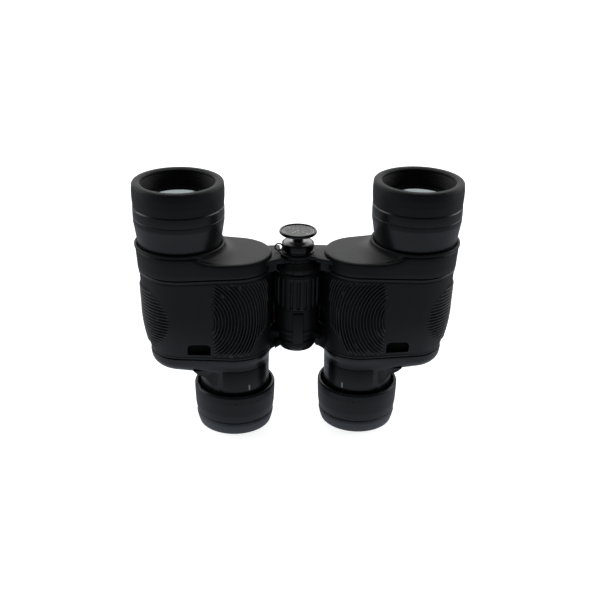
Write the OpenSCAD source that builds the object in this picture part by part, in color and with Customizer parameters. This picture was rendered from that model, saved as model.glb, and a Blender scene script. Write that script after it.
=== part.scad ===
// Porro-prism binoculars, standing on their eyecups with the objectives up.
// +Z runs from the eyecups to the objectives, +X to the right barrel, -Y to the focus-wheel side.

/* [Overall] */
// Distance between the two eyepiece axes, barrels fully open
eye_spacing = 72.4; // [68:0.2:88]
// Sideways step from each eyepiece axis to its objective axis
prism_offset = 29.4; // [27:0.2:36]
// Distance of the hinge axis behind the plane of the eyepieces
hinge_back = 4; // [0:0.5:6]

/* [Objective end] */
// Outer radius of the rubber hood
hood_r = 25.2; // [24.6:0.1:31]
// Inner radius of the hood and of the objective tube
bore_r = 20.3; // [17:0.1:20.6]
// Height of the rubber hood
hood_h = 13.2; // [10:0.2:17]
// Height of the plain band under the hood
band_h = 6; // [4:0.2:8]
// Height of the tapered part of the objective tube
cone_h = 15.6; // [12:0.2:20]
// Radius of the tapered part where it leaves the front cover
cone_r = 23; // [22.2:0.1:23.4]

/* [Prism housing] */
// Height of the collar that stands around the objective tube
collar_h = 6.4; // [4:0.2:9]
// Height of the front cover, below its collar
cover_h = 8.5; // [8:0.1:12]
// Height of the rubber-armoured middle part
armour_h = 50; // [48:0.5:62]
// Height of the rear cover
rear_h = 10; // [8:0.5:13]
// Radius of the housing around the eyepiece axis
lobe_r = 21.6; // [21.3:0.1:25]
// Radius of the housing around the objective axis, at the front seam
shoulder_r = 23.7; // [23.4:0.1:27]
// Radius of the housing around the objective axis, at the middle
waist_r = 22.9; // [22.5:0.1:24]
// Radius of the housing around the objective axis, at the rear seam
heel_r = 18.5; // [17.8:0.1:20]
// Thickness of the rubber armour
armour_t = 1.8; // [1.5:0.1:2.2]
// Wall of the casting under the armour
casting_t = 1.8; // [1.6:0.1:2.2]

/* [Eyepieces] */
// Height of the soft eyecup
cup_h = 8; // [7:0.5:11]
// Outer radius of the eyecup's rim
cup_r = 20.9; // [19.5:0.1:21.5]
// Height of the turning eyepiece ring
ring_h = 18; // [15:0.5:22]
// Outer radius of the turning ring
ring_r = 23.45; // [23:0.05:25]
// Wall of the ring's skirt
skirt_t = 2; // [1.5:0.1:2.4]
// Free height of the turret between the ring and the rear cover
turret_gap = 12.5; // [10:0.5:16]
// Outer radius of the eyepiece turret
turret_r = 20; // [19.4:0.1:20.4]
// Radius of the sliding ocular tube
ocular_r = 17; // [15.8:0.1:17.4]
// Outer radius of the eye lens
eye_lens_r = 11.5; // [9:0.5:12]

/* [Prisms] */
// Half of each prism's width
prism_w = 6.8; // [6:0.1:7.6]
// Thickness of the prism shelf
shelf_t = 3; // [2:0.5:4]

/* [Hinge and focusing] */
// Radius of the focus wheel
wheel_r = 13.4; // [12.6:0.1:13.7]
// Height of the focus wheel
wheel_h = 21.2; // [16:0.2:22]
// Number of flutes on the wheel
flutes = 20; // [12:1:28]
// Radius of the plain hinge sleeve
sleeve_r = 13.1; // [12:0.1:13.6]
// Height of the plain hinge sleeve
sleeve_h = 15.8; // [12:0.2:17]
// Radius of the hinge axle
axle_r = 3; // [2.5:0.1:3.4]
// Radius of the focus screw
screw_r = 5; // [4.5:0.1:5.4]
// How far the objective cells travel each way from rest
focus_travel = 1; // [0.5:0.1:1]

/* [Tripod socket] */
// Radius of the socket's collar
socket_r = 9.05; // [7.5:0.05:11]
// Height of the socket's collar
socket_h = 5.5; // [5:0.1:8]
// Radius of the socket's threaded hole, 1/4 inch
thread_r = 3.175; // [3.175:0.001:3.176]
// Radius of the cap's disc
cap_r = 10.65; // [9.5:0.05:13]
// Thickness of the cap's disc
cap_t = 2.2; // [1.8:0.1:3]
// Free height of the cap's neck
neck_h = 4.9; // [3:0.1:7]

/* [Strap slots] */
// Width of the strap slot
slot_w = 13; // [10:0.5:14]
// Height of the strap slot
slot_h = 6.9; // [5:0.1:8]
// Depth of the strap channel
channel_t = 5; // [4.5:0.1:5.5]

/* [Hidden] */
$fn = 64;
fit = 0.05;      // running clearance on a radius
seat = 0.05;     // gap between nested shells
facets = 56;     // sides of the housing's outline
over = 1;        // how far a cut runs past the face it opens

ex = eye_spacing / 2;
ox = ex + prism_offset;
mx = ex + prism_offset / 2;       // the middle optical axis of the two prisms
my = prism_offset / 2;
hump_y = my + prism_w + armour_t + casting_t + 0.1 - lobe_r;   // the back lobe covers the prisms
hy = hinge_back;

ring_z = cup_h;
ring_top = ring_z + ring_h;
rear_z = ring_top + turret_gap;
rear_seam = rear_z + rear_h;
front_seam = rear_seam + armour_h;
cover_top = front_seam + cover_h;
collar_top = cover_top + collar_h;
band_z = collar_top + cone_h;
hood_z = band_z + band_h;
height = hood_z + hood_h;
waist_z = rear_seam + armour_h * 0.55;

shelf_z = rear_seam + armour_h * 0.47;
prism_apex = prism_offset / sqrt(2) - 3.8;   // height of a prism with its sharp apex taken off
prism_half = prism_offset / 2 / sqrt(2) + prism_w;

cell_z = hood_z - 9.5;             // the objective cell at rest
cell_h = 13;
lens_r = bore_r - 2.3;
roof_t = 2.5;                     // roof of the front cover

plate_top = cover_top - 2;        // top of the hinge bridge
plate_t = 1.8;
knuckle_gap = 0.15;
knuckle_r = 12;
right_plate_z = plate_top - plate_t;
left_plate_z = right_plate_z - knuckle_gap - plate_t;
arm_t = 1;
arm_gap = 0.15;
nut_neck_r = screw_r + 2;
nut_h = 2.5;
nut_top = left_plate_z - focus_travel - 0.2;
left_arm_z = nut_top - nut_h + 0.2;
right_arm_z = left_arm_z + arm_t + arm_gap;
wheel_top = nut_top - nut_h - focus_travel - 1.8;
wheel_z = wheel_top - wheel_h;
sleeve_z = wheel_z - 0.15 - sleeve_h;
rear_knuckle = (sleeve_z - 0.2 - rear_seam - 0.2 - knuckle_gap) / 2;
left_knuckle_z = rear_seam + 0.2;
right_knuckle_z = left_knuckle_z + rear_knuckle + knuckle_gap;
arm_slot_y = 5.2;
lug_y = 8.2;
socket_z = plate_top + 0.1;
socket_top = socket_z + socket_h;
cap_z = socket_top + neck_h;
rod = 3;                          // the square rod that carries a cell

// ---------- helpers ----------

// Every barrel is drawn as the right one, and mirrored for the left.
module on(side) {
    if (side == "left") mirror([1, 0, 0]) children();
    else children();
}

module at_objective() { translate([ox, 0, 0]) children(); }
module at_eye() { translate([ex, 0, 0]) children(); }
module at_hinge() { translate([0, hy, 0]) children(); }

// A tube from z0 to z1
module tube(z0, z1, outer, inner) {
    translate([0, 0, z0]) difference() {
        cylinder(h = z1 - z0, r = outer);
        translate([0, 0, -over]) cylinder(h = z1 - z0 + 2 * over, r = inner);
    }
}

// A box given by its lowest and highest corners
module block(low, high) { translate(low) cube(high - low); }

// The housing's outline wraps an objective lobe, an eyepiece lobe and a back lobe over the prisms.
// Each lobe is [x, y, radius], and the outline takes the outermost one in each direction.
function lobes(front_r, inset) =
    [[ox, 0, front_r - inset], [ex, 0, lobe_r - inset], [mx, hump_y, lobe_r - inset]];
function reach(lobe, a) = lobe[0] * cos(a) + lobe[1] * sin(a) + lobe[2];
function outermost(all, a) =
    let (most = max([for (lobe = all) reach(lobe, a)]))
    [for (lobe = all) if (reach(lobe, a) == most) lobe][0];
function rim(front_r, inset) =
    [for (i = [0 : facets - 1])
        let (a = (i + 0.5) * 360 / facets, lobe = outermost(lobes(front_r, inset), a))
        [lobe[0] + lobe[2] * cos(a), lobe[1] + lobe[2] * sin(a)]];

module outline(front_r, inset) { polygon(rim(front_r, inset)); }

// A closed body through outlines at several heights, each level being [z, front radius, inset]
module loft(levels) {
    rings = len(levels);
    ring = [for (i = [0 : facets - 1]) i];
    polyhedron(
        points = [for (level = levels) for (p = rim(level[1], level[2])) [p[0], p[1], level[0]]],
        faces = concat(
            [[for (i = ring) i]],
            [[for (i = ring) rings * facets - 1 - i]],
            [for (k = [0 : rings - 2]) for (i = ring)
                [k * facets + i, (k + 1) * facets + i, (k + 1) * facets + (i + 1) % facets]],
            [for (k = [0 : rings - 2]) for (i = ring)
                [k * facets + i, (k + 1) * facets + (i + 1) % facets, k * facets + (i + 1) % facets]]));
}

// The housing's tapered body between two heights, drawn in by inset
module housing(z0, z1, inset) {
    loft([for (z = [z0, waist_z, z1]) if (z != waist_z || (z0 < waist_z && z1 > waist_z))
        [z, front_radius(z), inset]]);
}

function mix(a, b, t) = a + (b - a) * t;
function front_radius(z) =
    z > waist_z ? mix(waist_r, shoulder_r, (z - waist_z) / (front_seam - waist_z))
                : mix(heel_r, waist_r, (z - rear_seam) / (waist_z - rear_seam));

// The opening that the focus arm passes through, on the hinge side of a barrel
module arm_slot() {
    block([knuckle_r, hy - arm_slot_y, nut_top - nut_h - focus_travel - 0.4],
          [ex - lobe_r + 7, hy + arm_slot_y, left_plate_z]);
}

// The strap goes in through the window and leaves through the rear face
slot_x = mx + 5;
slot_z = rear_seam + 3.3;
channel_y = -lobe_r + 5.6;
module strap_channel(grow) {
    block([slot_x - slot_w / 2 - grow, channel_y - grow, rear_z - over],
          [slot_x + slot_w / 2 + grow, channel_y + channel_t + grow, slot_z + slot_h + grow]);
}
module strap_window() {
    block([slot_x - slot_w / 2, -shoulder_r - over, slot_z],
          [slot_x + slot_w / 2, channel_y + channel_t, slot_z + slot_h]);
}

// ---------- housing ----------

module front_cover(side) {
    plate_z = side == "left" ? left_plate_z : right_plate_z;
    color([0.09, 0.09, 0.1]) on(side) difference() {
        union() {
            loft([[front_seam, shoulder_r, 0], [cover_top, shoulder_r + 0.8, 0]]);
            at_objective() translate([0, 0, cover_top - over])
                cylinder(h = collar_h + over, r1 = shoulder_r + 0.4, r2 = shoulder_r + 1.5);
            block([knuckle_r + 0.6, hy - lug_y, front_seam], [ex - lobe_r + 3, hy + lug_y, plate_top]);
            at_hinge() translate([0, 0, plate_z]) cylinder(h = plate_t, r = knuckle_r);
            block([2, hy - lug_y, plate_z], [knuckle_r + over, hy + lug_y, plate_z + plate_t]);
        }
        housing_recess();
        at_objective() translate([0, 0, front_seam])
            cylinder(h = cover_h + collar_h + over, r = cone_r + seat);
        at_hinge() translate([0, 0, front_seam]) cylinder(h = cover_h, r = axle_r + fit);
        arm_slot();
    }
}

// The hollow on the underside of the front cover
module housing_recess() {
    translate([0, 0, front_seam - over])
        linear_extrude(cover_h - roof_t + over) outline(shoulder_r, armour_t + casting_t);
}

module body_casting(side) {
    skin = armour_t + seat;
    inner = skin + casting_t;
    knuckle_z = side == "left" ? left_knuckle_z : right_knuckle_z;
    color([0.25, 0.25, 0.27]) on(side) difference() {
        union() {
            difference() {
                housing(rear_seam, front_seam, skin);
                housing(shelf_z, front_seam + over, inner - 0.9);
                translate([0, 0, -over]) housing(rear_seam, shelf_z + 3 * over, inner);
            }
            intersection() {
                translate([0, 0, rear_seam]) linear_extrude(armour_h) outline(heel_r, skin);
                block([slot_x - slot_w / 2 - 2, -lobe_r, rear_seam],
                      [slot_x + slot_w / 2 + 2, channel_y + channel_t + 2, slot_z + slot_h + 2]);
            }
            at_hinge() translate([0, 0, knuckle_z]) cylinder(h = rear_knuckle, r = knuckle_r - 1);
            block([2, hy - lug_y, knuckle_z],
                  [ex - lobe_r + armour_t + casting_t, hy + lug_y, knuckle_z + rear_knuckle]);
        }
        at_hinge() translate([0, 0, rear_seam]) cylinder(h = armour_h, r = axle_r + fit);
        arm_slot();
        strap_channel(0);
        strap_window();
    }
}

module armour(side) {
    color([0.12, 0.12, 0.13]) on(side) difference() {
        housing(rear_seam, front_seam, 0);
        translate([0, 0, -over]) housing(rear_seam, front_seam + 3 * over, armour_t);
        arm_slot();
        block([knuckle_r, hy - lug_y - 0.3, rear_seam - over],
              [ex - lobe_r + 5, hy + lug_y + 0.3, sleeve_z + 0.6]);
        strap_window();
    }
}

screw_spots = [[8, -3], [-1, 7.5]];

module rear_cover(side) {
    web_z = rear_z - 7.5;
    color([0.1, 0.1, 0.11]) on(side) difference() {
        union() {
            loft([[rear_z, heel_r - 5, 1.1], [rear_seam - rear_h * 0.55, heel_r - 1, 0.4],
                  [rear_seam, heel_r, 0]]);
            at_eye() translate([0, 0, ring_top - 7]) cylinder(h = rear_seam - ring_top + 7, r = turret_r);
            translate([0, channel_y - 0.2, 0]) rotate([90, 0, 0]) linear_extrude(3)
                polygon([[ex + 9, rear_z + 3], [ex + 26, rear_z + 3], [ex + 22, rear_z + 1], [ex + 12, web_z],
                         [ex + 9, web_z]]);
        }
        at_eye() translate([0, 0, 0]) cylinder(h = height, r = ocular_r + fit);
        strap_channel(0);
        for (spot = screw_spots) translate([ox + spot[0], spot[1], 0]) {
            cylinder(h = rear_z + 2, r = 2.3);
            cylinder(h = height, r = 1.25);
        }
    }
}

module cover_screws(side) {
    color([0.5, 0.5, 0.52]) on(side)
        for (spot = screw_spots) translate([ox + spot[0], spot[1], 0]) difference() {
            union() {
                translate([0, 0, rear_z + 0.4]) cylinder(h = 1.6, r = 2.2);
                translate([0, 0, rear_z + 1.9]) cylinder(h = rear_h - 2.1, r = 1.2);
            }
            for (turn = [0, 90]) rotate(turn)
                block([-1.3, -0.3, rear_z], [1.3, 0.3, rear_z + 1.2]);
        }
}

// ---------- objectives ----------

module objective_tube(side) {
    spigot_z = front_seam + cover_h - roof_t;
    color([0.16, 0.16, 0.17]) on(side) at_objective() rotate_extrude()
        polygon([[bore_r, spigot_z], [cone_r, spigot_z], [cone_r, collar_top],
                 [hood_r - 0.3, band_z - 1.4], [hood_r - 0.1, band_z], [hood_r - 0.1, hood_z],
                 [bore_r, hood_z]]);
}

module hood(side) {
    edge = 2.2;
    bulge = 0.25;
    color([0.11, 0.11, 0.11]) on(side) at_objective() rotate_extrude()
        polygon(concat(
            [[bore_r, hood_z], [hood_r - bulge, hood_z], [hood_r, hood_z + hood_h * 0.5]],
            [for (a = [0 : 15 : 90]) [hood_r - edge + edge * cos(a), height - edge + edge * sin(a)]],
            [[bore_r + 0.8, height - 0.8], [bore_r, height - 1.6]]));
}

module objective_cell(side) {
    color([0.05, 0.05, 0.05]) on(side) at_objective() difference() {
        tube(cell_z, cell_z + cell_h, bore_r - fit, lens_r - 1.2);
        translate([0, 0, cell_z + 3]) cylinder(h = cell_h, r = lens_r + fit);
    }
}

module objective_lens(side) {
    ball = 90;
    thick = 7;
    color([0.5, 0.6, 0.62, 0.5]) on(side) at_objective() translate([0, 0, cell_z + 3 + thick / 2])
        intersection() {
            cylinder(h = thick, r = lens_r, center = true);
            translate([0, 0, thick / 2 - ball]) sphere(r = ball, $fn = 200);
        }
}

module lens_retainer(side) {
    color([0.05, 0.05, 0.05]) on(side) at_objective()
        tube(cell_z + 10.1, cell_z + cell_h - 0.4, lens_r, lens_r - 1.4);
}

module focus_arm(side) {
    arm_z = side == "left" ? left_arm_z : right_arm_z;
    rod_x = ox - bore_r + 3.6;
    color([0.6, 0.6, 0.62]) on(side) union() {
        at_hinge() tube(arm_z, arm_z + arm_t, nut_neck_r + 2.2, nut_neck_r + fit);
        block([nut_neck_r + 1.2, hy - 2.5, arm_z], [rod_x + rod / 2, hy + 2.5, arm_z + arm_t]);
        block([rod_x - rod / 2, hy - rod / 2, arm_z], [rod_x + rod / 2, hy + rod / 2, cell_z]);
    }
}

// ---------- prisms ----------

// Two optical axes joined by one prism, drawn with its long face down and its apex up
module prism_solid(from, to) {
    along = to - from;
    turn = atan2(along[1], along[0]);
    length = norm(along);
    intersection() {
        linear_extrude(prism_apex) hull() {
            translate(from) circle(r = prism_w, $fn = 32);
            translate(to) circle(r = prism_w, $fn = 32);
        }
        translate(concat((from + to) / 2, 0)) rotate([90, 0, turn])
            linear_extrude(4 * prism_w, center = true)
                polygon([[-prism_half * 1.42, 0], [prism_half * 1.42, 0], [0, prism_half * 1.42]]);
    }
}

module clip_solid(from, to) {
    along = to - from;
    turn = atan2(along[1], along[0]);
    gap = 0.1;
    strip = 0.7;
    reach = prism_w + gap;
    translate(concat((from + to) / 2, 0)) rotate(turn) difference() {
        block([-2.5, -reach - strip, 0], [2.5, reach + strip, prism_apex + gap + strip]);
        block([-3, -reach, -over], [3, reach, prism_apex + gap]);
    }
}

module front_prism(side) {
    color([0.7, 0.8, 0.82, 0.5]) on(side) translate([0, 0, shelf_z + shelf_t])
        prism_solid([ex, 0], [mx, my]);
}

module rear_prism(side) {
    color([0.7, 0.8, 0.82, 0.5]) on(side) translate([0, 0, shelf_z]) mirror([0, 0, 1])
        prism_solid([ox, 0], [mx, my]);
}

module prism_clips(side) {
    color([0.75, 0.75, 0.76]) on(side) {
        translate([0, 0, shelf_z + shelf_t]) clip_solid([ex, 0], [mx, my]);
        translate([0, 0, shelf_z]) mirror([0, 0, 1]) clip_solid([ox, 0], [mx, my]);
    }
}

module prism_shelf(side) {
    inset = armour_t + casting_t + seat - 0.8;
    color([0.4, 0.4, 0.42]) on(side) translate([0, 0, shelf_z]) difference() {
        linear_extrude(shelf_t) outline(front_radius(shelf_z) - 0.1, inset);
        for (axis = [[ex, 0], [mx, my], [ox, 0]]) translate([axis[0], axis[1], -over])
            cylinder(h = shelf_t + 2 * over, r = prism_w - 0.6);
    }
}

// ---------- eyepieces ----------

stem_r = ocular_r - 2;            // the lower part of the ocular tube, inside the ring
ocular_z = 5;
ocular_top = rear_seam - 1.5;     // clears the casting when the tube is screwed right in
eye_lens_t = 5;
field_lens_r = ocular_r - 3.5;
field_lens_t = 5;
field_z = ring_top - 4;
seal_z = rear_seam - 8;

module ocular_tube(side) {
    color([0.06, 0.06, 0.06]) on(side) at_eye() difference() {
        union() {
            translate([0, 0, ocular_z]) cylinder(h = ring_top - ocular_z, r = stem_r);
            translate([0, 0, ring_top - 5]) cylinder(h = ocular_top - ring_top + 5, r = ocular_r);
        }
        translate([0, 0, ocular_z - over]) cylinder(h = height, r = eye_lens_r - 1.5);
        translate([0, 0, ocular_z - over]) cylinder(h = eye_lens_t + 1.5 + over, r = eye_lens_r + fit);
        translate([0, 0, field_z]) cylinder(h = height, r = field_lens_r + fit);
        translate([0, 0, seal_z]) tube(-1.1, 1.1, ocular_r + over, ocular_r - 1);
    }
}

module field_lens(side) {
    ball = 60;
    color([0.5, 0.6, 0.62, 0.5]) on(side) at_eye() translate([0, 0, field_z]) intersection() {
        cylinder(h = field_lens_t, r = field_lens_r);
        translate([0, 0, field_lens_t - ball]) sphere(r = ball, $fn = 200);
    }
}

module eye_lens(side) {
    ball = 45;
    color([0.5, 0.6, 0.62, 0.5]) on(side) at_eye() translate([0, 0, ocular_z + 1.5]) intersection() {
        cylinder(h = eye_lens_t, r = eye_lens_r);
        translate([0, 0, ball]) sphere(r = ball, $fn = 200);
    }
}

module ocular_seal(side) {
    color([0.1, 0.1, 0.1]) on(side) at_eye() translate([0, 0, seal_z])
        tube(-1, 1, ocular_r - 0.02, ocular_r - 0.95);
}

module eyepiece_ring(side) {
    web = 4;
    color([0.13, 0.13, 0.14]) on(side) at_eye() rotate_extrude()
        polygon([[stem_r + fit, ring_z + 1], [stem_r + 2.5, ring_z], [ring_r - 0.95, ring_z],
                 [ring_r - 0.4, ring_z + ring_h * 0.25], [ring_r, ring_top - 2], [ring_r - 0.3, ring_top],
                 [ring_r - skirt_t, ring_top], [ring_r - skirt_t, ring_z + 1 + web],
                 [stem_r + fit, ring_z + 1 + web]]);
}

module eyecup(side) {
    color([0.17, 0.17, 0.18]) on(side) at_eye() rotate_extrude()
        polygon([[cup_r - 2, 0], [cup_r, 0], [cup_r + 0.35, cup_h * 0.25],
                 [mix(cup_r, ring_r - 0.85, 0.75), cup_h * 0.7], [ring_r - 0.95, cup_h],
                 [stem_r + 2.5, cup_h], [stem_r + 1, cup_h * 0.8], [stem_r + 1.6, cup_h * 0.4]]);
}

module index_mark(side) {
    turn = side == "left" ? 25 : 31;
    color("white") on(side) at_eye() rotate(-turn) translate([0, -turret_r, ring_top + 3.2])
        block([-0.4, -0.12, -1.5], [0.4, 0, 1.5]);
}

// ---------- hinge and focusing ----------

module hinge_axle() {
    color([0.7, 0.7, 0.72]) at_hinge() translate([0, 0, left_knuckle_z])
        cylinder(h = socket_z - left_knuckle_z, r = axle_r);
}

module focus_wheel() {
    flute_r = 0.9;
    color([0.1, 0.1, 0.11]) at_hinge() difference() {
        translate([0, 0, wheel_z]) cylinder(h = wheel_h, r = wheel_r);
        translate([0, 0, wheel_z - over]) cylinder(h = wheel_h + 2 * over, r = screw_r);
        for (i = [0 : flutes - 1]) rotate(i * 360 / flutes)
            translate([wheel_r + flute_r * 0.35, 0, wheel_z - over])
                cylinder(h = wheel_h - 2.4, r = flute_r, $fn = 16);
    }
}

module focus_screw() {
    color([0.72, 0.6, 0.35]) at_hinge() tube(wheel_z, left_plate_z - 0.2, screw_r, axle_r + fit);
}

module focus_nut() {
    color([0.72, 0.6, 0.35]) at_hinge() {
        difference() {
            union() {
                translate([0, 0, nut_top - nut_h]) cylinder(h = nut_h, r = nut_neck_r);
                translate([0, 0, nut_top - nut_h - 0.8]) cylinder(h = 0.9, r = nut_neck_r + 2);
            }
            translate([0, 0, wheel_top]) cylinder(h = height, r = screw_r + fit);
        }
    }
}

module hinge_sleeve() {
    color([0.14, 0.14, 0.15]) at_hinge() tube(sleeve_z, sleeve_z + sleeve_h, sleeve_r, axle_r);
}

key_w = 6.2;
module sleeve_key() {
    color([0.13, 0.13, 0.14]) at_hinge() intersection() {
        block([-key_w / 2, -sleeve_r - 0.7, rear_seam + 4], [key_w / 2, -8, sleeve_z + sleeve_h - 1.8]);
        tube(rear_seam, sleeve_z + sleeve_h, sleeve_r + 0.6, sleeve_r);
    }
}

// The scalloped front of the bridge, which hides the focus nut and its arms
module bridge_cover() {
    inner = nut_neck_r + 2.7;
    color([0.08, 0.08, 0.09]) at_hinge() union() {
        intersection() {
            tube(wheel_top + 0.5, left_plate_z, knuckle_r - 0.2, inner);
            block([-knuckle_r, -knuckle_r - 1, wheel_top], [knuckle_r, -5.5, left_plate_z]);
        }
        block([-key_w / 2, -knuckle_r - 0.9, wheel_top + 0.8],
              [key_w / 2, -knuckle_r + 1, left_plate_z]);
    }
}

module hinge_end_cap() {
    color([0.08, 0.08, 0.09]) at_hinge() translate([0, 0, rear_seam - 1.4])
        cylinder(h = 1.6, r1 = knuckle_r - 2.6, r2 = knuckle_r - 1.6);
}

// ---------- tripod socket and its cap ----------

module tripod_socket() {
    color([0.1, 0.1, 0.11]) at_hinge() difference() {
        translate([0, 0, socket_z]) cylinder(h = socket_h, r = socket_r);
        translate([0, 0, socket_z + 0.8]) cylinder(h = socket_h, r = thread_r);
    }
}

module cap_stem() {
    color([0.1, 0.1, 0.11]) at_hinge() union() {
        translate([0, 0, socket_z + 1.1]) cylinder(h = socket_h - 1.1, r = thread_r - fit);
        translate([0, 0, socket_top]) cylinder(h = neck_h, r = thread_r - 0.25);
    }
}

module cap_disc() {
    color([0.08, 0.08, 0.09]) at_hinge() difference() {
        translate([0, 0, cap_z]) rotate_extrude()
            polygon([[0, 0], [cap_r - 0.6, 0], [cap_r, 0.6], [cap_r - 0.15, cap_t - 0.3],
                     [cap_r - 0.5, cap_t], [0, cap_t]]);
        translate([0, 0, cap_z + cap_t - 0.9]) cylinder(h = cap_t, r = cap_r - 1.3);
    }
}

module cap_inlay() {
    color([0.7, 0.7, 0.7]) at_hinge() translate([0, 0, cap_z + cap_t - 0.9])
        cylinder(h = 0.5, r = cap_r - 1.3 - seat);
}

module tether_eye() {
    color([0.3, 0.3, 0.3]) at_hinge() tube(socket_top + 0.1, socket_top + 0.7, thread_r + 1.6, thread_r - 0.2);
}

module tether_loop() {
    loop_r = 2.3;
    color([0.1, 0.1, 0.1]) at_hinge() difference() {
        translate([-socket_r - 0.9, -2.5, socket_z + 2.9]) rotate([90, 0, 20])
            rotate_extrude() translate([loop_r, 0]) circle(r = 0.4, $fn = 16);
        translate([0, 0, socket_z - over]) cylinder(h = socket_h + 2 * over, r = socket_r);
    }
}

// ---------- assembly ----------

for (side = ["left", "right"]) {
    front_cover(side);
    body_casting(side);
    armour(side);
    rear_cover(side);
    objective_tube(side);
    hood(side);
    objective_cell(side);
    objective_lens(side);
    lens_retainer(side);
    focus_arm(side);
    prism_shelf(side);
    front_prism(side);
    rear_prism(side);
    prism_clips(side);
    ocular_tube(side);
    field_lens(side);
    eye_lens(side);
    eyepiece_ring(side);
    eyecup(side);
    index_mark(side);
    cover_screws(side);
    ocular_seal(side);
}
hinge_axle();
focus_wheel();
focus_screw();
focus_nut();
hinge_sleeve();
sleeve_key();
bridge_cover();
tripod_socket();
cap_stem();
cap_disc();
cap_inlay();
tether_eye();
tether_loop();
hinge_end_cap();
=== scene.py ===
"""Porro-prism binoculars: detailed pieces, finishes and a studio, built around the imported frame."""

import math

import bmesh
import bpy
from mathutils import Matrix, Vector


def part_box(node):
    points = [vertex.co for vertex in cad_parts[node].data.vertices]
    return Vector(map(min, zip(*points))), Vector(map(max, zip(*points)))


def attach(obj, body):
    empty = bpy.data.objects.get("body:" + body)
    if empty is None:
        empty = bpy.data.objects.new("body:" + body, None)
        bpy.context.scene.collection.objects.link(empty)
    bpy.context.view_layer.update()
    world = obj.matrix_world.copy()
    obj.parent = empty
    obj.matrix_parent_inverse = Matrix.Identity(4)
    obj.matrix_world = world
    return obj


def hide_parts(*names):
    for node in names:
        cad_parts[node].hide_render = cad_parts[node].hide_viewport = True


bl_info = {
    "name": "Porro binoculars",
    "version": (1, 0, 0),
    "blender": (4, 5, 0),
    "location": "View3D > Sidebar > Binoculars",
    "description": "Builds the looks of a pair of binoculars around its packed frame",
    "category": "Object",
}

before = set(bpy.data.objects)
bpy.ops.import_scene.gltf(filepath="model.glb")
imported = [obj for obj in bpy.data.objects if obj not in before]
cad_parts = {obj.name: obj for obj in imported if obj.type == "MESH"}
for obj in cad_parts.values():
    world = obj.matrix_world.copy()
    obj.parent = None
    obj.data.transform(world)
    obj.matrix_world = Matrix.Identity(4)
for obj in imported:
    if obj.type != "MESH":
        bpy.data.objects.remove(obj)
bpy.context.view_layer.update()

MM = 0.001
X, Y, Z = 0, 1, 2
SIDES = (("left", -1), ("right", 1))


# ---------- places, in millimetres, read from the frame ----------

def reach(node, axis):
    """Lowest and highest place of a CAD node along an axis."""
    low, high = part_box(node)
    return low[axis] / MM, high[axis] / MM


def middle(node, axis):
    """Centre of a CAD node along an axis."""
    return sum(reach(node, axis)) / 2


def half(node):
    """Half the width of a CAD node."""
    low, high = reach(node, X)
    return (high - low) / 2


EYE_X = middle("right_eyepiece_ring", X)
TUBE_X = middle("right_hood", X)
HINGE_Y = middle("hinge_sleeve", Y)
RING_Z, RING_TOP = reach("right_eyepiece_ring", Z)
HEEL_Z, SEAM_Z = reach("right_armour", Z)
COLLAR_Z = reach("right_front_cover", Z)[1]
HOOD_Z, MOUTH_Z = reach("right_hood", Z)
HOOD_R = half("right_hood")
RING_R = half("right_eyepiece_ring")
LOBE_R = EYE_X - reach("right_armour", X)[0]
SHOULDER_R = reach("right_armour", X)[1] - TUBE_X
HEEL_R = reach("right_rear_cover", X)[1] - TUBE_X
PRISM_X = (EYE_X + TUBE_X) / 2
HUMP_Y = reach("right_armour", Y)[1] - LOBE_R
WHEEL_Z, WHEEL_TOP = reach("focus_wheel", Z)
WHEEL_R = half("focus_wheel")
SLEEVE_Z = reach("hinge_sleeve", Z)[0]
SLEEVE_R = half("hinge_sleeve")
SOCKET_Z, SOCKET_TOP = reach("tripod_socket", Z)
SOCKET_R = half("tripod_socket")
CAP_Z, CAP_TOP = reach("cap_disc", Z)
CAP_R = half("cap_disc")

# Places that follow from those of the frame, or that only these pieces share.
HINGE = (0.0, HINGE_Y)
BRIDGE_TOP = SOCKET_Z - 0.1
BRIDGE_END = EYE_X - LOBE_R + 4.5
BRIDGE_HALF = 9.7
WAIST_Z = HEEL_Z + (SEAM_Z - HEEL_Z) * 0.55
WAIST_R = 22.9
SHELF_Z = SEAM_Z + 8.5
TURRET_R = 20.0
PANEL_RISE = 0.35
BORE_R = HOOD_R - 4.9
SLOT_X, SLOT_Z = PRISM_X + 5, HEEL_Z + 3.3

# Grip ribs: where the curved ones are cut off, and their centre as (distance from the cut, height).
CUT_X = 47.2
ARC_CENTRE = (-13.0, 73.2)


# ---------- settings that a user would change ----------

def length(name, description, default):
    """A setting in metres."""
    return bpy.props.FloatProperty(name=name, description=description, default=default,
                                   min=0.0, unit="LENGTH", subtype="DISTANCE", precision=5)


def amount(name, description, default):
    """A setting without a unit."""
    return bpy.props.FloatProperty(name=name, description=description, default=default, min=0.0)


def colour(name, description, default):
    """A colour setting."""
    return bpy.props.FloatVectorProperty(name=name, description=description, default=default,
                                         size=3, min=0.0, max=1.0, subtype="COLOR")


class BINOCULARS_PG_shape(bpy.types.PropertyGroup):
    """Sizes of the details that the frame leaves plain"""
    rib_height: length("Rib height", "How far the grip ribs stand off the armour", 0.00072)
    arc_pitch: length("Arc pitch", "Distance from one curved grip rib to the next", 0.00176)
    bar_pitch: length("Bar pitch", "Distance from one outer grip rib to the next", 0.0019)
    seam: length("Seam", "Half the gap between one shell and the next", 0.00034)
    baffle: length("Baffle pitch", "Distance from one baffle ridge in the hood to the next", 0.00125)
    flutes: bpy.props.IntProperty(name="Flutes", description="Number of flutes on the focus wheel",
                                  default=20, min=8, max=40)


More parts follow.
